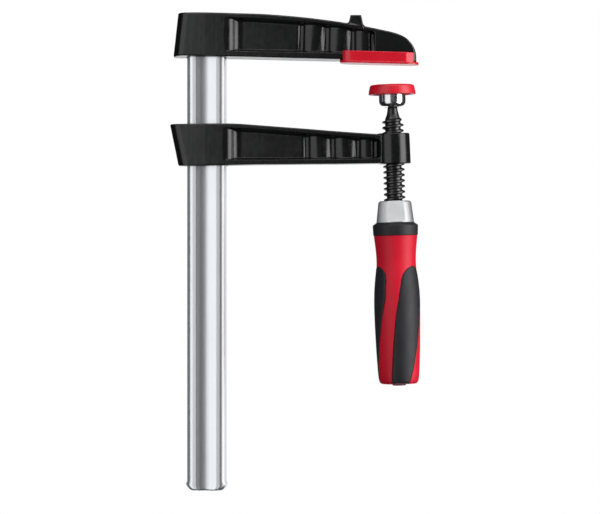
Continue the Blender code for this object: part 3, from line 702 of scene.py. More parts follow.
def scallop():
    """One scallop of a recess floor, between two low lines: a short rising
    wall, a wide crown, a shoulder that falls. Returns its length shares, its
    heights and the share at which it falls at 24 degrees."""
    x, y = [0.0], [0.0]
    for start, end, radius in SCALLOP_ARCS:
        if (start, end) == (24, 42):
            falls = x[-1]
        first, last = math.radians(start), math.radians(end)
        px, py, sign = x[-1], y[-1], 1 if end > start else -1
        for angle in np.linspace(first, last, 9)[1:]:
            x.append(px + radius * sign * (math.sin(angle) - math.sin(first)))
            y.append(py + radius * sign * (math.cos(angle) - math.cos(first)))
    x, y = np.array(x), np.array(y)
    shares = x / x[-1]
    return shares, (y - y[-1] * shares) * SCALLOP_GAIN, falls / x[-1]


SHARES, HEIGHTS, FALLS = scallop()


def floor_depth(x, z, start, slope, lows, shoulders, z_low, z_high):
    """Depth of the recess floor under the arm's face. Each low line is
    upright; the shoulder before it leans, from its first x at z_low to its
    second at z_high."""
    depth = flank(x - start, slope)
    # the floor gives up what the arm loses in thickness
    depth = depth - (HALF_AT_RAIL - HALF_AT_TIP) * clamp((x - start - 6) / 140.0)
    up = clamp((z - z_low) / (z_high - z_low))
    lines = [low + (high - low) * up for low, high in shoulders]
    depth = depth + LOW_LINE * drop((x - lines[0]) / (lows[0] - lines[0]))
    for low, high, line in zip(lows, lows[1:], lines[1:]):
        before = FALLS * (x - low) / (line - low)
        after = FALLS + (1 - FALLS) * (x - line) / (high - line)
        height = np.interp(np.where(x < line, before, after), SHARES, HEIGHTS)
        depth = depth - np.where((x > low) & (x < high), height, 0.0)
    return depth


def make_recess(spans, pocket, floor, climb, tip, brow, sill):
    """The recess of an arm as a field, negative in the space it takes. climb
    is how the floor rises past its last low line."""
    mask = Plane.of(*spans, lambda x, z: polygon_distance(pocket, x, z) - MASK_GROWTH)
    depth = Plane.of(
        *spans, lambda x, z: floor_depth(x, z, **floor) - np.interp(x, *zip(*climb))
    ).blur(0.2)
    stretch = depth.stretch()

    def field(points):
        x, y, z = points[:, 0], np.abs(points[:, 1]), points[:, 2]
        half = arm_half(x, tip)
        bottom = ((half - depth(x, z)) - y) / stretch(x, z)
        sunk = np.clip(half - y, 0, 9)
        over = z - curve(brow, x)
        high = (over + BROW_DRAFT * sunk) * BROW_SCALE
        wall = rounded_max(mask(x, z) + END_DRAFT * sunk, high, 1.3)
        low = (curve(sill, x) - z + SILL_DRAFT * sunk) * SILL_SCALE
        # the lower edge is rounder near the tip, the floor's edge near the brow
        wall = rounded_max(wall, low, 0.3 + 1.2 * clamp((x - tip * 0.93) / 4.0))
        return rounded_max(wall, bottom, 0.25 + 1.0 * clamp((over + 14.0) / 8.0))

    return field


# ---------------------------------------------------------------------------
# fixed arm: all tables are (x, z) unless they say otherwise
# ---------------------------------------------------------------------------
FIXED_TIP = 151.3
FIXED_SPANS = (-32, 160), (304, 350)
FIXED_REAR = (-23.9, 313.5), (-20.4, 344.8)
FIXED_TOP = [
    (-45.0, 344.8), (-18.0, 344.85), (-5.0, 344.85), (10.0, 344.6), (21.3, 344.2),
    (38.6, 343.6), (56.0, 342.4), (73.3, 340.7), (90.6, 338.5), (104.0, 336.4),
    (116.6, 334.1), (125.3, 332.3), (133.9, 330.4), (139.5, 328.6), (143.8, 326.4),
    (147.6, 323.1), (150.3, 319.2), (151.7, 315.3), (152.4, 311.0),
]
FIXED_BOTTOM = [
    (152.4, 309.6), (98.0, 311.0), (94.5, 310.95), (60.0, 311.9), (17.0, 313.2),
    (-12.0, 313.9), (-45.0, 314.3),
]
FIXED_POCKET = [
    (15.4, 313.0), (120.2, 311.0), (120.2, 333.8), (95.0, 338.0), (60.0, 341.5), (15.4, 343.0),
]
# upper and lower edge of the recess
FIXED_BROW = (
    (10.0, 341.5), (32.7, 340.7), (60.0, 338.8), (82.5, 336.8), (97.0, 334.9), (120.0, 331.4),
)
FIXED_SILL = ((10.0, 317.0), (33.0, 316.5), (82.5, 315.5), (122.0, 314.6))
FIXED_FLOOR = dict(
    start=13.2, slope=54, z_low=318.0, z_high=335.0,
    lows=(67.9, 86.3, 105.0, 118.9),
    shoulders=((64.4, 66.0), (81.5, 83.9), (99.9, 102.0), (118.2, 118.0)),
)
FIXED_CLIMB = ((118.9, 0.0), (121.3, 1.05))  # x, rise
# a small lug on top of the arm
LUG = [(102.0, 330.0), (103.2, 338.0), (104.2, 342.7), (111.8, 342.7), (112.8, 338.0), (114.2, 330.0)]
LUG_HALF, LUG_TAPER, LUG_TAPER_Z = 7.9, 0.20, 336.0  # half thickness at that z
NOSE_HALF, NOSE_TAPER, NOSE_X = 8.95, 0.15, 124.0  # the same, at that x
SWELL, SWELL_TOP, SWELL_RUN = 0.16, 326.0, 8.0  # crown of the underside across y
RAIL_PLAY, RAIL_HOLE_ROUND = 0.2, 2.0


def build_fixed_arm():
    contour = np.vstack([spline(FIXED_TOP), FIXED_BOTTOM])
    outline = Plane.of(*FIXED_SPANS, lambda x, z: polygon_distance(contour, x, z))
    recess = make_recess(
        FIXED_SPANS, FIXED_POCKET, FIXED_FLOOR, FIXED_CLIMB, FIXED_TIP, FIXED_BROW, FIXED_SILL
    )
    lug_outline = Plane.of((90, 125), (325, 350), lambda x, z: polygon_distance(LUG, x, z))

    def field(points):
        x, y, z = points[:, 0], np.abs(points[:, 1]), points[:, 2]
        half = arm_half(x, FIXED_TIP)
        plan = rounded_max(y - half, line_distance(*FIXED_REAR, x, z), REAR_ROUND)
        nose = (y - NOSE_HALF + NOSE_TAPER * (x - NOSE_X)) * 0.989
        plan = rounded_max(plan, nose, 6.0)
        plan = rounded_max(plan, x - FIXED_TIP - 0.3, 3.0)
        swell = SWELL * (half - y) * clamp((SWELL_TOP - z) / SWELL_RUN)
        body = rounded_max(plan, outline(x, z + swell) * 0.985, 1.35)
        near = (x > 92) & (x < 124)
        if near.any():
            lx, ly, lz = x[near], y[near], z[near]
            side = (ly - LUG_HALF + LUG_TAPER * (lz - LUG_TAPER_Z)) * 0.98
            lug = rounded_max(lug_outline(lx, lz), side, 0.7)
            fillet = 2.6 - 2.0 * clamp((ly - 4.5) / 2.0)  # tighter towards the faces
            body[near] = rounded_min(body[near], lug, fillet)
        # the recess's edge is sharp below and rounded above
        body = rounded_max(body, -recess(points), 0.1 + 0.58 * clamp((z - 322.0) / 6.0))
        hole_x = np.abs(x) - RAIL_WIDTH / 2 - RAIL_PLAY
        hole = rounded_max(hole_x, y - RAIL_THICKNESS / 2 - RAIL_PLAY, RAIL_HOLE_ROUND)
        return cast_skin(rounded_max(body, -hole, 0.45), points)

    mesh = surface(field, (-26.5, -12.0, 307.5), (153.5, 12.0, 346.0), ARM_CELL)
    piece = make_mesh("fixed_arm_casting", *mesh)
    add_piece(piece, "rail_assembly", "fixed_arm", IRON)


# ---------------------------------------------------------------------------
# sliding arm: the same tables, and a threaded boss for the spindle
# ---------------------------------------------------------------------------
PITCH = 4.0
THREAD_MARK = 0.55  # s where the screw's crest passes the spindle's +x side

SLIDING_TIP = 128.4
SLIDING_END = 131.0
SLIDING_SPANS = (-34, 152), (228, 270)
SLIDING_REAR = (-20.3, 234.3), (-26.3, 263.9)
SLIDING_TOP = [
    (-45.0, 264.3), (-22.0, 264.5), (-9.0, 264.75), (6.0, 264.8), (17.0, 264.75), (25.6, 264.4),
    (43.0, 263.1), (69.0, 261.1), (94.9, 259.0), (121.0, 257.1), (131.0, 256.6),
]
SLIDING_BOTTOM = [
    (131.0, 236.1), (122.0, 235.8), (99.0, 235.45), (38.6, 235.1), (12.6, 234.6),
    (-8.0, 234.3), (-45.0, 234.3),
]
SLIDING_POCKET = [
    (14.4, 236.5), (119.5, 236.5), (123.6, 240.4), (126.2, 243.6), (126.2, 250.2),
    (123.0, 252.6), (110.0, 256.0), (60.0, 261.0), (24.0, 264.0), (14.4, 264.5),
]
SLIDING_BROW = (
    (10.0, 262.2), (32.7, 261.1), (57.4, 259.1), (82.5, 257.0), (111.4, 254.8), (124.0, 254.0),
)
SLIDING_SILL = ((10.0, 238.5), (40.0, 238.5), (121.0, 239.2), (130.0, 239.3))
SLIDING_FLOOR = dict(
    start=12.2, slope=50, z_low=239.5, z_high=257.0,
    lows=(71.9, 90.3, 108.7, 120.9),
    shoulders=((69.4, 68.7), (86.8, 84.7), (105.1, 103.1), (120.2, 120.0)),
)
SLIDING_CLIMB = ((120.9, 0.0), (123.9, 1.3), (126.5, 6.9))
BOSS_TOP, BOSS_FOOT = -25.3, -47.3  # s
BOSS_RADIUS, BOSS_FLARE = 11.85, 0.35  # at the top, and its growth to the foot
BORE_CREST, BORE_GROOVE = 6.02, 2.03  # radius inside the thread, and its depth
COUNTERSINK_MOUTH, COUNTERSINK_MAX = 8.4, 8.6  # radii
# the leaning rail hole: half width, half thickness, z where it is centred
WINDOW_HALF_X, WINDOW_HALF_Y, WINDOW_Z = 14.72, 6.4, 249.5


def build_sliding_arm():
    contour = np.vstack([spline(SLIDING_TOP), SLIDING_BOTTOM])
    outline = Plane.of(*SLIDING_SPANS, lambda x, z: polygon_distance(contour, x, z))
    recess = make_recess(
        SLIDING_SPANS, SLIDING_POCKET, SLIDING_FLOOR, SLIDING_CLIMB,
        SLIDING_TIP, SLIDING_BROW, SLIDING_SILL,
    )
    boss_middle, boss_half = (BOSS_TOP + BOSS_FOOT) / 2, (BOSS_TOP - BOSS_FOOT) / 2

    def threaded_bore(radius, s, angle):
        away = s - THREAD_MARK - PITCH * angle / (2 * math.pi)
        away = np.abs((away + PITCH / 2) % PITCH - PITCH / 2)
        groove = smooth(clamp((1.75 - away) / 0.95))
        bore = (radius - (BORE_CREST + BORE_GROOVE * groove)) * 0.45
        inset = np.minimum(BOSS_TOP - s, s - BOSS_FOOT)
        mouth = np.maximum(radius - inset - COUNTERSINK_MOUTH, radius - COUNTERSINK_MAX)
        return np.minimum(bore, mouth * 0.7)

    def field(points):
        x, y, z = points[:, 0], np.abs(points[:, 1]), points[:, 2]
        sides = y - arm_half(x, SLIDING_TIP)
        plan = rounded_max(sides, line_distance(*SLIDING_REAR, x, z), REAR_ROUND)
        plan = rounded_max(plan, x - SLIDING_END, 1.0)
        body = rounded_max(plan, outline(x, z), 1.2)
        # the recess's edge is rounded only above and clear of the tip
        edge = 0.58 * clamp((z - 244.0) / 6.0) * np.clip((125.0 - x) / 3.0, 0.1, 1)
        body = rounded_max(body, -recess(points), 0.1 + edge)
        local_x, local_y, s = to_spindle(points).T
        radius = np.hypot(local_x, local_y)
        wide = BOSS_RADIUS + BOSS_FLARE * clamp((BOSS_TOP - s) / (BOSS_TOP - BOSS_FOOT))
        boss = rounded_max(radius - wide, np.abs(s - boss_middle) - boss_half, 0.9)
        body = rounded_min(body, boss, 0.6)
        across = np.abs(COS * x + SIN * (z - WINDOW_Z))
        window = rounded_max(across - WINDOW_HALF_X, y - WINDOW_HALF_Y, 1.2)
        body = rounded_max(body, -window, 0.5)
        bore = threaded_bore(radius, s, np.arctan2(local_y, local_x))
        return cast_skin(np.maximum(body, -bore), points)

    mesh = surface(field, (-29.5, -13.5, 231.5), (150.0, 13.5, 267.0), ARM_CELL)
    piece = make_mesh("sliding_arm_casting", *mesh)
    add_piece(piece, "sliding_arm", "sliding_arm", IRON)


# ---------------------------------------------------------------------------
# jaw pad: a shoe under the fixed arm's tip, with a flange round its lower face
# ---------------------------------------------------------------------------
PAD_CELL = 0.36
PAD_START, PAD_END = (96.6, 308.3), (152.9, 306.7)  # (x, z) along its lower face
PAD_PLATE, PAD_FLOOR = 1.35, 1.9  # thickness of the flange and of the floor
PAD_SLOT_X = 149.8  # the wall is open past here


def shoe_plan(x, y, start, half, radius, facet):
    """Plan of the shoe: a rounded end at start, and a long facet on each side
    of the +x end."""
    end, end_radius = 170.0, 1.0  # well past the piece, which is cut shorter
    middle = (start + end) / 2
    corner = np.where(x < middle, radius, end_radius)
    qx = np.abs(x - middle) - (end - start) / 2 + corner
    qy = np.abs(y) - half + corner
    outside = np.hypot(np.maximum(qx, 0), np.maximum(qy, 0))
    sides = np.minimum(np.maximum(qx, qy), 0) + outside - corner
    return rounded_max(sides, (np.abs(y) - half) * 0.866 + (x - facet) * 0.5, 0.6)


def build_jaw_pad():
    (start_x, start_z), (end_x, end_z) = PAD_START, PAD_END
    slope = (end_z - start_z) / (end_x - start_x)

    def field(points):
        x, y, z = points.T
        face = start_z + slope * (x - start_x)
        rim = 317.05 - 1.7 * (x - 98.9) / 50.9
        floor = face + PAD_FLOOR
        foot = shoe_plan(x, y, start=start_x, half=12.7, radius=8.5, facet=145.6)
        foot = rounded_max(foot, x - end_x, 3.0)
        plate = rounded_max(foot, np.maximum(face - z, z - face - PAD_PLATE), 0.5)
        outer = shoe_plan(x, y, start=96.5, half=12.0, radius=8.5, facet=143.9)
        outer = rounded_max(outer, x - 153.0, 2.0)
        wall = rounded_max(outer, np.maximum(face + 0.5 - z, z - rim), 0.5)
        body = rounded_min(plate, wall, 0.35)
        inner = shoe_plan(x, y, start=60.0, half=9.03, radius=1.0, facet=143.4)
        hollow = np.maximum(rounded_max(inner, x - 151.9, 1.0), floor - z)
        body = rounded_max(body, -hollow, 0.25)
        slot = np.maximum(PAD_SLOT_X - x, floor - z)
        return rounded_max(body, -slot, 0.3)

    mesh = surface(field, (94.0, -14.2, 305.5), (155.2, 14.2, 319.0), PAD_CELL)
    piece = make_mesh("jaw_pad_shoe", *mesh)
    add_piece(piece, "rail_assembly", "jaw_pad", RED_PAD)


# ---------------------------------------------------------------------------
# spindle: a threaded shaft with a tapered neck and a ball at the top
# ---------------------------------------------------------------------------
CORE_RADIUS, CREST_RADIUS = 5.6, 7.7
THREAD_START = THREAD_MARK - PITCH * 19
THREAD_TURNS, THREAD_LAST = 16, 15.22  # turns meshed, and the turn the crest ends at
THREAD_RUN_OUT = 0.5  # turns
THREAD_ROWS = 20  # rows of vertices to a turn
SPINDLE_SIDES = 72
BALL_RADIUS, NECK_RADIUS = 6.5, 3.3
BALL_TOP = 72  # degrees, where the ball is cut flat

# s, radius
NECK = (
    (-16.2, CORE_RADIUS), (-15.0, 5.5), (-13.9, 5.1), (-12.7, 4.6), (-11.3, 4.12),
    (-9.6, 3.82), (-8.0, 3.68), (-6.9, 3.5), (-6.1, NECK_RADIUS),
)
# radius, s
SPINDLE_FOOT = [
    (0.0, -186.0), (4.0, -186.0), (4.8, -185.2), (4.8, THREAD_START - 2.8),
    (5.2, THREAD_START - 2.35), (CORE_RADIUS, THREAD_START - 2.05),
]


def thread_columns(verts):
    """Add the thread's vertices, one column up each side; returns their indices."""
    offset = (np.arange(THREAD_ROWS) + 0.5) / THREAD_ROWS * PITCH - PITCH / 2
    flank_share = clamp((1.35 - np.abs(offset)) / 0.85)
    ridge = smooth(flank_share) * 0.35 + flank_share * 0.65
    columns = []
    for k in range(SPINDLE_SIDES):
        first = len(verts)
        angle = 2 * math.pi * k / SPINDLE_SIDES
        for n in range(THREAD_TURNS):
            turn = n + k / SPINDLE_SIDES
            fade = smooth(clamp(min(turn, THREAD_LAST - turn) / THREAD_RUN_OUT))
            s = THREAD_START + PITCH * turn + offset
            root = curve(NECK, s)
            radius = root + (CREST_RADIUS - root) * ridge * fade
            verts.extend(zip(radius * math.cos(angle), radius * math.sin(angle), s))
        columns.append(range(first, len(verts)))
    return columns


def build_spindle():
    verts, faces = [], []
    sides, rows, count = SPINDLE_SIDES, THREAD_ROWS, THREAD_ROWS * THREAD_TURNS
    angles = np.arange(sides) * 2 * math.pi / sides
    neck_s = np.linspace(THREAD_START + PITCH * THREAD_TURNS + 2.1, NECK[-1][0], 9)
    neck = [(float(curve(NECK, s)), s) for s in neck_s]
    sine = -math.sqrt(BALL_RADIUS**2 - NECK_RADIUS**2) / BALL_RADIUS
    ball = arc(0.0, 0.0, BALL_RADIUS, math.degrees(math.asin(sine)), BALL_TOP, 25)
    head = neck + ball + [(0.0, ball[-1][1])]
    low = [add_ring(verts, radius, s, angles) for radius, s in SPINDLE_FOOT]
    high = [add_ring(verts, radius, s, angles) for radius, s in head]
    columns = thread_columns(verts)
    first, last = columns[0], columns[-1]

    for here, after in zip(columns, columns[1:]):
        for j in range(count - 1):
            add_face(faces, here[j], after[j], after[j + 1], here[j + 1])
    # the seam joins each turn to the next one up
    for j in range(count - rows - 1):
        add_face(faces, last[j], first[j + rows], first[j + rows + 1], last[j + 1])
    loft(faces, low)
    loft(faces, high)
    for k in range(sides - 1):
        here, after = columns[k], columns[k + 1]
        add_face(faces, low[-1][k], low[-1][k + 1], after[0], here[0])
        add_face(faces, here[-1], after[-1], high[0][k + 1], high[0][k])
    # the two places where the helix begins and ends, filled as fans
    corner = low[-1][-1]
    add_face(faces, corner, low[-1][0], first[0])
    for j in range(rows):
        add_face(faces, corner, first[j], first[j + 1])
    add_face(faces, corner, first[rows], last[0])
    corner = high[0][0]
    add_face(faces, corner, high[0][-1], last[-1])
    for j in range(count - 1, count - rows - 1, -1):
        add_face(faces, corner, last[j], last[j - 1])
    add_face(faces, corner, last[count - rows - 1], first[-1])
    piece = make_mesh("spindle_screw", to_world(verts), faces, sharp=40)
    add_piece(piece, "spindle_assembly", "spindle", OXIDE)


# ---------------------------------------------------------------------------
# snap ring, plate and cap: profiles are (radius, s)
# ---------------------------------------------------------------------------
RING_SEAT, RING_POLAR = 7.3, math.radians(55.0)  # from the ball's centre, off -s
RING_WIRE = 0.42
RING_SIDES, RING_STEPS = 16, 90
SOCKET_RADIUS, SOCKET_MOUTH = 8.1, 5.9
SOCKET_TOP, PLATE_TOP = 6.9, 8.7


def build_ring():
    """An open wire ring below the ball's middle."""
    radius, s = RING_SEAT * math.sin(RING_POLAR), -RING_SEAT * math.cos(RING_POLAR)
    verts, faces = [], []
    for i in range(RING_STEPS + 1):
        turn = math.radians(20 + 320 * i / RING_STEPS)
        for k in range(RING_SIDES):
            angle = 2 * math.pi * k / RING_SIDES
            reach = radius + RING_WIRE * math.cos(angle)
            height = s + RING_WIRE * math.sin(angle)
            verts.append((reach * math.cos(turn), reach * math.sin(turn), height))
    rings = [range(RING_SIDES * i, RING_SIDES * (i + 1)) for i in range(RING_STEPS + 1)]
    loft(faces, rings)
    faces += [list(rings[0]), list(rings[-1])]
    piece = make_mesh("ball_snap_ring_wire", to_world(verts), faces, sharp=50)
    add_piece(piece, "ball_carrier", "ball_snap_ring", PLATED)


def build_plate():
    """A socket round the ball under a flat disc."""
    mouth = math.degrees(math.asin(SOCKET_MOUTH / SOCKET_RADIUS)) - 90
    profile = [(0.0, SOCKET_TOP), (SOCKET_RADIUS, SOCKET_TOP)]
    profile += arc(0.0, 0.0, SOCKET_RADIUS, 0, mouth, 15)
    profile += arc(6.2, -6.05, 0.42, -190, -80, 5)
    profile += arc(5.1, -2.0, 4.5, -70, 0, 14)
    profile += [(9.6, 1.0), (9.6, 5.6)] + arc(10.8, 5.7, 1.2, 180, 90, 6)
    profile += [(14.6, SOCKET_TOP)] + arc(14.6, 7.3, 0.4, -90, 0, 4)
    profile += arc(14.6, 8.3, 0.4, 0, 90, 4) + [(0.0, PLATE_TOP)]
    piece = lathe("pressure_plate_cup", profile, sides=144)
    add_piece(piece, "swivel_plate", "pressure_plate", PLATED)


def build_cap():
    """A shell over the plate, with a skirt and a fine ring on its top."""
    profile = [(0.0, 8.75), (15.25, 8.75), (15.25, 6.7), (13.7, 6.7), (13.9, 5.6)]
    profile += [(14.0, 3.0), (14.3, 2.7)] + arc(16.45, 3.1, 0.55, -90, -4, 5)
    profile += [(16.8, 4.9), (16.5, 6.4)] + arc(14.1, 7.55, 2.1, 8, 84, 12)
    profile += [(13.0, 9.67), (11.6, 9.65), (11.4, 9.56), (11.2, 9.56)]
    profile += [(11.0, 9.65), (6.0, 9.65), (0.0, 9.65)]
    piece = lathe("plate_cap_shell", profile, sides=160, sharp=50)
    add_piece(piece, "swivel_plate", "plate_cap", RED_CAP)


# ---------------------------------------------------------------------------
# ferrule and collar
# ---------------------------------------------------------------------------
FERRULE_TOP, FERRULE_BOTTOM = -74.0, -89.5
COLLAR_BOTTOM, HANDLE_END = -98.9, -205.8
FLAT_AT_TOP, FLAT_GROWTH = 10.15, 1.9  # from the axis to the flats, and growth to the foot
FLAT_TURN = math.radians(6.0)
FLAT_BLEND = 0.12  # softening where a flat meets the cone


def ferrule_flats(radius, s, angles):
    """Two opposite flats cut into the cone."""
    if radius < 9.0 or s < FERRULE_BOTTOM + 0.5:
        return radius
    share = (FERRULE_TOP - s) / (FERRULE_TOP - FERRULE_BOTTOM)
    across = np.abs(np.cos(angles + math.pi / 2 - FLAT_TURN))
    cut = (FLAT_AT_TOP + FLAT_GROWTH * share) / np.maximum(across, 0.3)
    mix = clamp(0.5 + 0.5 * (cut - radius) / FLAT_BLEND)
    return cut * (1 - mix) + radius * mix - FLAT_BLEND * mix * (1 - mix)


def build_ferrule():
    top, bottom = FERRULE_TOP, FERRULE_BOTTOM
    profile = [(8.3, top), (8.3, top - 5.4), (5.3, top - 5.4), (5.3, bottom + 3.0)]
    profile += [(11.4, bottom + 3.0), (11.4, bottom + 0.05)]
    profile += [(13.42, bottom + 0.05), (13.5, bottom + 0.5)]
    profile += [(13.46 - 1.52 * t, bottom + 1.0 + 12.7 * t) for t in np.linspace(0, 1, 12)]
    profile += arc(10.05, top - 1.85, 1.85, 6, 90, 9)
    piece = lathe("ferrule_cone", profile, sides=240, shape=ferrule_flats, sharp=44)
    add_piece(piece, "spindle_assembly", "ferrule", ZINC)


def build_collar():
    top, bottom = FERRULE_BOTTOM, COLLAR_BOTTOM
    profile = [(11.3, bottom + 0.03), (15.7, bottom + 0.03)]
    profile += arc(15.75, bottom + 0.38, 0.35, -80, 0, 3) + [(16.3, top - 3.6)]
    profile += arc(15.15, top - 2.6, 1.2, 0, 62, 6)
    profile += [(14.3, top - 0.62), (13.9, top - 0.15), (13.5, top - 0.02), (11.3, top)]
    piece = lathe("handle_collar_ring", profile, sides=144, sharp=40)
    add_piece(piece, "spindle_assembly", "handle_collar", SOFT)


# ---------------------------------------------------------------------------
# handle: a red core with three twisting pockets, a soft inlay in each. Heights
# are measured up from the handle's end.
# ---------------------------------------------------------------------------
# height, radius
HANDLE = (
    (0.0, 11.9), (0.35, 12.7), (1.0, 13.35), (2.2, 13.95), (4.0, 14.35), (6.0, 14.6),
    (11.0, 14.95), (20.0, 15.45), (33.0, 15.95), (46.0, 16.3), (55.0, 16.4), (66.0, 16.1),
    (75.0, 15.3), (82.0, 14.5), (88.0, 14.2), (94.0, 14.42), (100.0, 14.95), (104.0, 15.4),
    (106.6, 15.75),
)
# height, half width of an inlay in degrees before its tip is rounded
GRIP_WIDTH = (
    (0.0, 27.0), (5.5, 29.0), (20.0, 34.5), (34.0, 38.0), (49.0, 40.5), (61.0, 42.0),
    (73.0, 39.0), (90.0, 39.0),
)
# height, turn of an inlay's middle in degrees
GRIP_TWIST = (
    (0, 7), (5.5, 11), (20, 21.5), (34, 30), (49, 38.5), (61, 47.5), (73, 52), (85, 57),
)
GRIP_ANGLE = -90.0  # where the first inlay is turned from
TIP_START, TIP_LENGTH = 73.0, 11.6  # the round tip of an inlay
POCKET_TIP, INLAY_TIP = 84.9, 84.55
POCKET_DEPTH, POCKET_GAP = 1.75, 0.16
# from outside to the foot of the pocket's wall: distance past its edge, drop
POCKET_EDGE = np.array([-0.42, -0.18, -0.05, 0.02])
POCKET_DROP = [0.0, 0.05, 0.16, POCKET_DEPTH]
RED_COLUMNS, POCKET_COLUMNS, INLAY_COLUMNS = 16, 22, 34
INLAY_SINK = 1.5  # of its inner face, below the handle's surface
INLAY_PROUD, INLAY_TUCK, INLAY_RIM = 0.30, 0.18, 0.75  # rise, drop at the rim, rim width
BORE_LOW, BORE_HIGH = 5.2, 5.15


def grip_middle(height):
    return np.interp(height, *zip(*GRIP_TWIST))


def grip_half(height):
    """Half width of an inlay in degrees, closing in a round tip."""
    share = clamp((height - TIP_START) / TIP_LENGTH)
    return curve(GRIP_WIDTH, height) * np.sqrt(np.maximum(1 - share * share, 0))


def core_ring(height):
    """Angles and radii of the core's outside at a height."""
    radius = float(curve(HANDLE, height))
    is_open = height < POCKET_TIP - 0.01
    half = math.radians(grip_half(min(height, POCKET_TIP))) * radius
    half = max(half + (POCKET_GAP if is_open else 0.0), 0.5)
    floor = np.linspace(-half + 0.02, half - 0.02, POCKET_COLUMNS)[1:-1]
    across = np.concatenate([-half + POCKET_EDGE, floor, half - POCKET_EDGE[::-1]])
    drops = POCKET_DROP + [POCKET_DEPTH] * len(floor) + POCKET_DROP[::-1]
    pocket_radii = radius - np.array(drops) * is_open
    red_radii = np.full(RED_COLUMNS - 2, radius)
    degrees, radii = [], []
    for n in range(3):
        centre = GRIP_ANGLE + 120.0 * n + float(grip_middle(min(height, 85.0)))
        pocket = centre + np.degrees(across / radius)
        red = np.linspace(pocket[-1], pocket[0] + 120.0, RED_COLUMNS)[1:-1]
        degrees += [pocket, red]
        radii += [pocket_radii, red_radii]
    return np.radians(np.concatenate(degrees)), np.concatenate(radii)


def build_core():
    tip_steps = np.sin(np.linspace(0.06, 1, 22) * math.pi / 2)
    heights = np.concatenate([
        [0.0, 0.15, 0.35, 0.6, 1.0, 1.5, 2.2, 3.0, 4.0, 5.0],
        np.linspace(6.5, 72, 60),
        TIP_START + (POCKET_TIP - TIP_START) * tip_steps,
        np.linspace(86.4, 106.6, 16),
    ])
    verts, rings, faces = [], [], []
    for height in heights:
        angles, radii = core_ring(height)
        rings.append(add_ring(verts, radii, HANDLE_END + height, angles))
    # (radius, s) of the end face and bore, then of the top and its recess
    end, seat, inside = HANDLE_END, FERRULE_BOTTOM + 2.6, HANDLE_END + 6.0
    foot = [(BORE_LOW, inside), (BORE_LOW, end), (7.6, end - 0.02), (10.0, end)]
    top = [(15.55, COLLAR_BOTTOM - 0.02), (11.0, COLLAR_BOTTOM - 0.02), (11.0, seat)]
    top += [(BORE_HIGH, seat), (BORE_HIGH, inside)]
    foot_angles = core_ring(heights[0])[0]
    low = [add_ring(verts, radius, s, foot_angles) for radius, s in foot]
    high = [add_ring(verts, radius, s, angles) for radius, s in top]
    loft(faces, low + rings + high + low[:1])
    piece = make_mesh("handle_core_body", to_world(verts), faces, sharp=35)
    add_piece(piece, "spindle_assembly", "handle_core", RED_HANDLE)


def build_grip(n):
    """A soft inlay: its outer face stands a little proud, with a rounded rim."""
    heights = np.concatenate([
        [0.35, 0.5, 0.8, 1.3, 2.0, 3.0, 4.5],
        np.linspace(6.5, 72, 56),
        TIP_START + 11.5 * np.sin(np.linspace(0.05, 0.985, 24) * math.pi / 2),
    ])
    inner_columns = -1 + 2 * np.linspace(0.012, 0.988, INLAY_COLUMNS - 2)
    across = np.concatenate([[-1.0], inner_columns, [1.0]])
    outer, inner = [], []
    for height in heights:
        radius = float(curve(HANDLE, height))
        half = math.radians(max(float(grip_half(height)), 0.25)) * radius
        centre = math.radians(GRIP_ANGLE + 120.0 * n + float(grip_middle(height)))
        to_tip = max(INLAY_TIP - height, 0.0) * 0.9 + 0.02
        to_foot = (height - 0.3) * 0.8 + 0.1
        for share in across:
            near = min(half * (1 - abs(share)), to_tip, to_foot)
            short = 1 - min(near / INLAY_RIM, 1.0)
            rise = INLAY_PROUD * math.sqrt(max(0.0, 1 - short**2)) - INLAY_TUCK * short**2
            angle = centre + share * half / radius
            for layer, reach in ((outer, radius + rise), (inner, radius - INLAY_SINK)):
                x, y = reach * math.cos(angle), reach * math.sin(angle)
                layer.append((x, y, HANDLE_END + height))
    rows, columns, total = len(heights), len(across), len(outer)
    faces = []
    for start in (0, total):
        for i in range(rows - 1):
            for k in range(columns - 1):
                at = start + i * columns + k
                faces.append([at, at + 1, at + columns + 1, at + columns])
    rim = list(range(columns)) + [i * columns + columns - 1 for i in range(1, rows)]
    rim += [(rows - 1) * columns + k for k in range(columns - 2, -1, -1)]
    rim += [i * columns for i in range(rows - 2, 0, -1)]
    for here, after in zip(rim, rim[1:] + rim[:1]):
        faces.append([here, after, total + after, total + here])
    piece = make_mesh(f"grip_inlay_{n + 1}", to_world(outer + inner), faces, sharp=50)
    add_piece(piece, "spindle_assembly", f"grip_panel_{n + 1}", SOFT)


def build_plug():
    """The button in the handle's end."""
    profile = [(0.0, -206.95), (3.9, -207.0)] + arc(4.3, -206.45, 0.55, -90, 0, 5)
    profile += [(4.85, -201.5), (0.0, -201.5)]
    piece = lathe("handle_end_plug_button", profile, sides=64)
    add_piece(piece, "spindle_assembly", "handle_end_plug", SOFT)


build_rail()
build_fixed_arm()
build_sliding_arm()
build_jaw_pad()
build_spindle()
build_ring()
build_plate()
build_cap()
build_ferrule()
build_collar()
build_core()
for number in range(3):
    build_grip(number)
build_plug()

# ---------------------------------------------------------------------------
# stage, in metres: pale floor, soft studio light that keeps its place round
# the camera
# ---------------------------------------------------------------------------
CENTRE = Vector((0.0675, 0.0, 0.1686))
CAMERA_DISTANCE, CAMERA_AZIMUTH = 2.20, math.radians(3.5)
SENSOR_WIDTH = 36.0  # mm
VIEW_WIDTH = 0.4332  # seen at the centre
FLOOR_Z = -0.190  # under the lowest point the handle can be slid to
# plan lines of the softboxes, in the rig's axes: the camera looks along +y
LEFT_LINE = (-0.196, -0.808), (-0.709, -0.346)
RIGHT_LINE = (0.98, -0.87), (1.17, -0.02)
LEFT_COLOUR = (0.985, 0.99, 1.0)


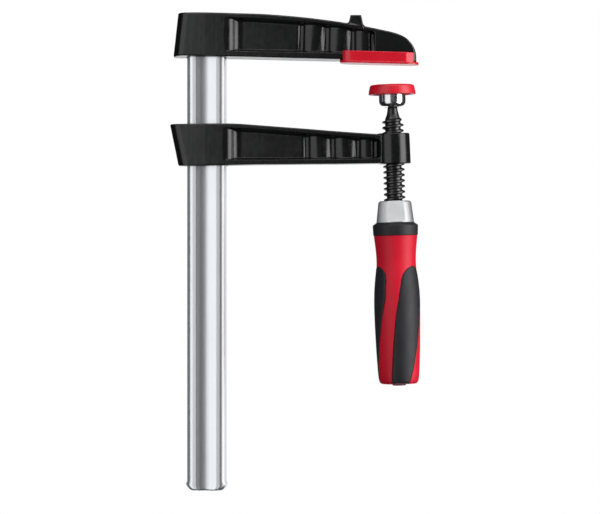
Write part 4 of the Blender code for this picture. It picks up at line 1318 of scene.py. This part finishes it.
def build_camera():
    data = bpy.data.cameras.new("camera")
    camera = bpy.data.objects.new("camera", data)
    bpy.context.scene.collection.objects.link(camera)
    away = Vector((math.sin(CAMERA_AZIMUTH), -math.cos(CAMERA_AZIMUTH), 0.0))
    camera.location = CENTRE + CAMERA_DISTANCE * away
    camera.rotation_euler = (math.pi / 2, 0.0, CAMERA_AZIMUTH)
    data.sensor_width = SENSOR_WIDTH
    data.lens = SENSOR_WIDTH * CAMERA_DISTANCE / VIEW_WIDTH
    data.clip_start, data.clip_end = 0.05, 50.0
    bpy.context.scene.camera = camera
    return camera


def add_area(rig, name, size, radiance, place, facing, colour=(1, 1, 1), receivers=None):
    light = bpy.data.lights.new(name, "AREA")
    light.shape = "RECTANGLE"
    light.size, light.size_y = size
    light.energy = radiance * math.pi * size[0] * size[1]
    light.color = colour
    lamp = bpy.data.objects.new(name, light)
    bpy.context.scene.collection.objects.link(lamp)
    lamp.parent = rig
    lamp.location = place
    lamp.rotation_euler = facing.to_track_quat("-Z", "Y").to_euler()
    lamp.visible_camera = False
    if receivers:
        lamp.light_linking.receiver_collection = receivers


def add_softbox(rig, name, line, radiance, low=-0.75, high=0.75, **options):
    """An upright softbox over a plan line, facing the object."""
    (x1, y1), (x2, y2) = line
    place = Vector(((x1 + x2) / 2, (y1 + y2) / 2, (low + high) / 2))
    facing = Vector((y2 - y1, x1 - x2, 0.0)).normalized()
    if facing.dot(place) > 0:
        facing = -facing
    size = (math.hypot(x2 - x1, y2 - y1), high - low)
    add_area(rig, name, size, radiance, place, facing, **options)


def light_group(name, pieces, exclude=False):
    """A collection that limits a light to some pieces, or keeps it off them."""
    group = bpy.data.collections.new(name)
    for piece in pieces:
        group.objects.link(bpy.data.objects[piece])
    if exclude:
        for member in group.collection_objects:
            member.light_linking.link_state = "EXCLUDE"
    return group


def build_rig(camera):
    """The softboxes turn with the camera. The bright metal has its own, weaker
    set: the main box would burn it out."""
    rig = bpy.data.objects.new("light_rig", None)
    bpy.context.scene.collection.objects.link(rig)
    rig.location = CENTRE
    follow = rig.constraints.new("COPY_ROTATION")
    follow.target = camera
    follow.use_x = follow.use_y = False

    metal = ("rail_bar", "ferrule_cone")
    bright = light_group("bright_metal", metal)
    not_bright = light_group("all_but_bright_metal", metal, exclude=True)
    rail = light_group("rail_only", metal[:1])
    not_rail = light_group("all_but_rail", metal, exclude=True)
    ferrule = light_group("ferrule_only", metal[1:])
    tall = dict(low=-0.80, high=1.20)
    card = dict(low=-0.80, high=0.90, receivers=rail)
    # name, plan line, radiance, options
    for name, line, radiance, options in (
        ("softbox_left", LEFT_LINE, 1.25, dict(colour=LEFT_COLOUR, receivers=not_rail)),
        ("softbox_right", RIGHT_LINE, 4.6, dict(tall, receivers=not_bright)),
        ("softbox_right_weak", RIGHT_LINE, 1.45, dict(tall, receivers=bright)),
        ("softbox_left_rail", LEFT_LINE, 1.24, dict(colour=LEFT_COLOUR, receivers=rail)),
        ("softbox_left_ferrule", LEFT_LINE, 0.85, dict(receivers=ferrule)),
        ("softbox_right_ferrule", ((0.60, -0.87), (1.10, -0.40)), 1.05, dict(receivers=ferrule)),
        ("card_right", ((1.20, 0.02), (0.42, 1.12)), 0.95, card),
        ("card_left", ((-1.20, 0.02), (-0.42, 1.12)), 0.20, card),
        ("card_ahead_right", ((0.70, -1.10), (0.98, -0.87)), 1.05, card),
    ):
        add_softbox(rig, name, line, radiance, **options)
    above = Vector((0.0, -0.58, 1.10))
    add_area(rig, "softbox_top", size=(1.3, 0.6), radiance=2.9, place=above, facing=-above)
    return rig


def build_world(rig):
    """White backdrop behind the object, dark studio in front of it."""
    world = bpy.data.worlds.new("studio")
    bpy.context.scene.world = world
    nodes = Nodes(world)
    pivot = bpy.data.objects.new("world_pivot", None)
    bpy.context.scene.collection.objects.link(pivot)
    pivot.constraints.new("COPY_ROTATION").target = rig

    def vector(operation, inputs):
        return nodes.add("VectorMath", inputs, operation=operation).outputs[0]

    def split(socket):
        return nodes.add("SeparateXYZ", {0: socket}).outputs

    def ramp(value, source, target):
        return nodes.remap(value, target, source, kind="SMOOTHSTEP")

    coord = nodes.add("TexCoord", object=pivot).outputs["Object"]
    unit = vector("NORMALIZE", {0: coord})
    height = split(unit)["Z"]
    flat = vector("MULTIPLY", {0: unit, 1: (1, 1, 0)})
    heading = split(vector("NORMALIZE", {0: flat}))["Y"]
    # the backdrop, cut off above and brighter where it sweeps down
    behind = ramp(heading, source=(0.93, 0.985), target=(0.0, 0.95))
    back = nodes.maths("MULTIPLY", behind, ramp(height, source=(0.06, 0.22), target=(1.0, 0.0)))
    sweep = ramp(height, source=(-0.15, -0.35), target=(1.0, 2.0))
    # the dim studio: ceiling, a patch on the camera's side, and the rest
    ceiling = ramp(height, source=(0.80, 0.98), target=(0.0, 0.05))
    steep = nodes.maths("ABSOLUTE", height, 0.0)
    patch = ramp(heading, source=(-0.90, -0.99), target=(0.0, 0.105))
    patch = nodes.maths("MULTIPLY", patch, ramp(steep, source=(0.16, 0.34), target=(1.0, 0.12)))
    ambient = ramp(height, source=(0.12, 0.36), target=(0.035, 0.006))
    dim = nodes.maths("ADD", nodes.maths("ADD", ceiling, patch), ambient)
    total = nodes.maths("MAXIMUM", nodes.maths("MULTIPLY", back, sweep), dim)
    light = nodes.add("Background", {"Color": (0.97, 0.98, 1, 1), "Strength": total})
    white = nodes.add("Background", {"Color": (1, 1, 1, 1)})
    seen = nodes.add("LightPath").outputs["Is Camera Ray"]
    result = nodes.mix_shader(seen, light.outputs[0], white.outputs[0])
    nodes.add("OutputWorld", {"Surface": result})


def look_floor():
    """Nearly white to the camera, dark to other rays, faded out at the rim and
    clear from below."""
    material = bpy.data.materials.new("pale_floor")
    nodes = Nodes(material)
    pale = nodes.add("BsdfDiffuse", {"Color": (0.95, 0.95, 0.95, 1)}).outputs[0]
    glow = nodes.add("Emission", {"Color": (1, 1, 1, 1), "Strength": 1.04}).outputs[0]
    seen = nodes.mix_shader(0.88, pale, glow)
    dim = nodes.add("BsdfDiffuse", {"Color": (0.09, 0.09, 0.095, 1)}).outputs[0]
    camera_ray = nodes.add("LightPath").outputs["Is Camera Ray"]
    picked = nodes.mix_shader(camera_ray, dim, seen)
    coord = nodes.add("TexCoord").outputs["Object"]
    length = nodes.add("VectorMath", {0: coord}, operation="LENGTH").outputs["Value"]
    fade = nodes.remap(length, target=(0, 1), source=(0.45, 1.5), kind="SMOOTHSTEP")
    clear = nodes.add("BsdfTransparent").outputs[0]
    soft = nodes.mix_shader(fade, picked, clear)
    backfacing = nodes.add("NewGeometry").outputs["Backfacing"]
    result = nodes.mix_shader(backfacing, soft, clear)
    nodes.add("OutputMaterial", {"Surface": result})
    return material


def build_floor():
    disc = bmesh.new()
    bmesh.ops.create_circle(disc, cap_ends=True, segments=96, radius=2.0)
    mesh = bpy.data.meshes.new("floor")
    disc.to_mesh(mesh)
    disc.free()
    floor = bpy.data.objects.new("floor", mesh)
    floor.location = (0.0, 0.0, FLOOR_Z)
    bpy.context.scene.collection.objects.link(floor)
    mesh.materials.append(look_floor())
    floor.visible_glossy = False
    floor.visible_shadow = False


build_world(build_rig(build_camera()))
build_floor()
scene = bpy.context.scene
scene.view_settings.view_transform = "Standard"
scene.view_settings.look = "None"
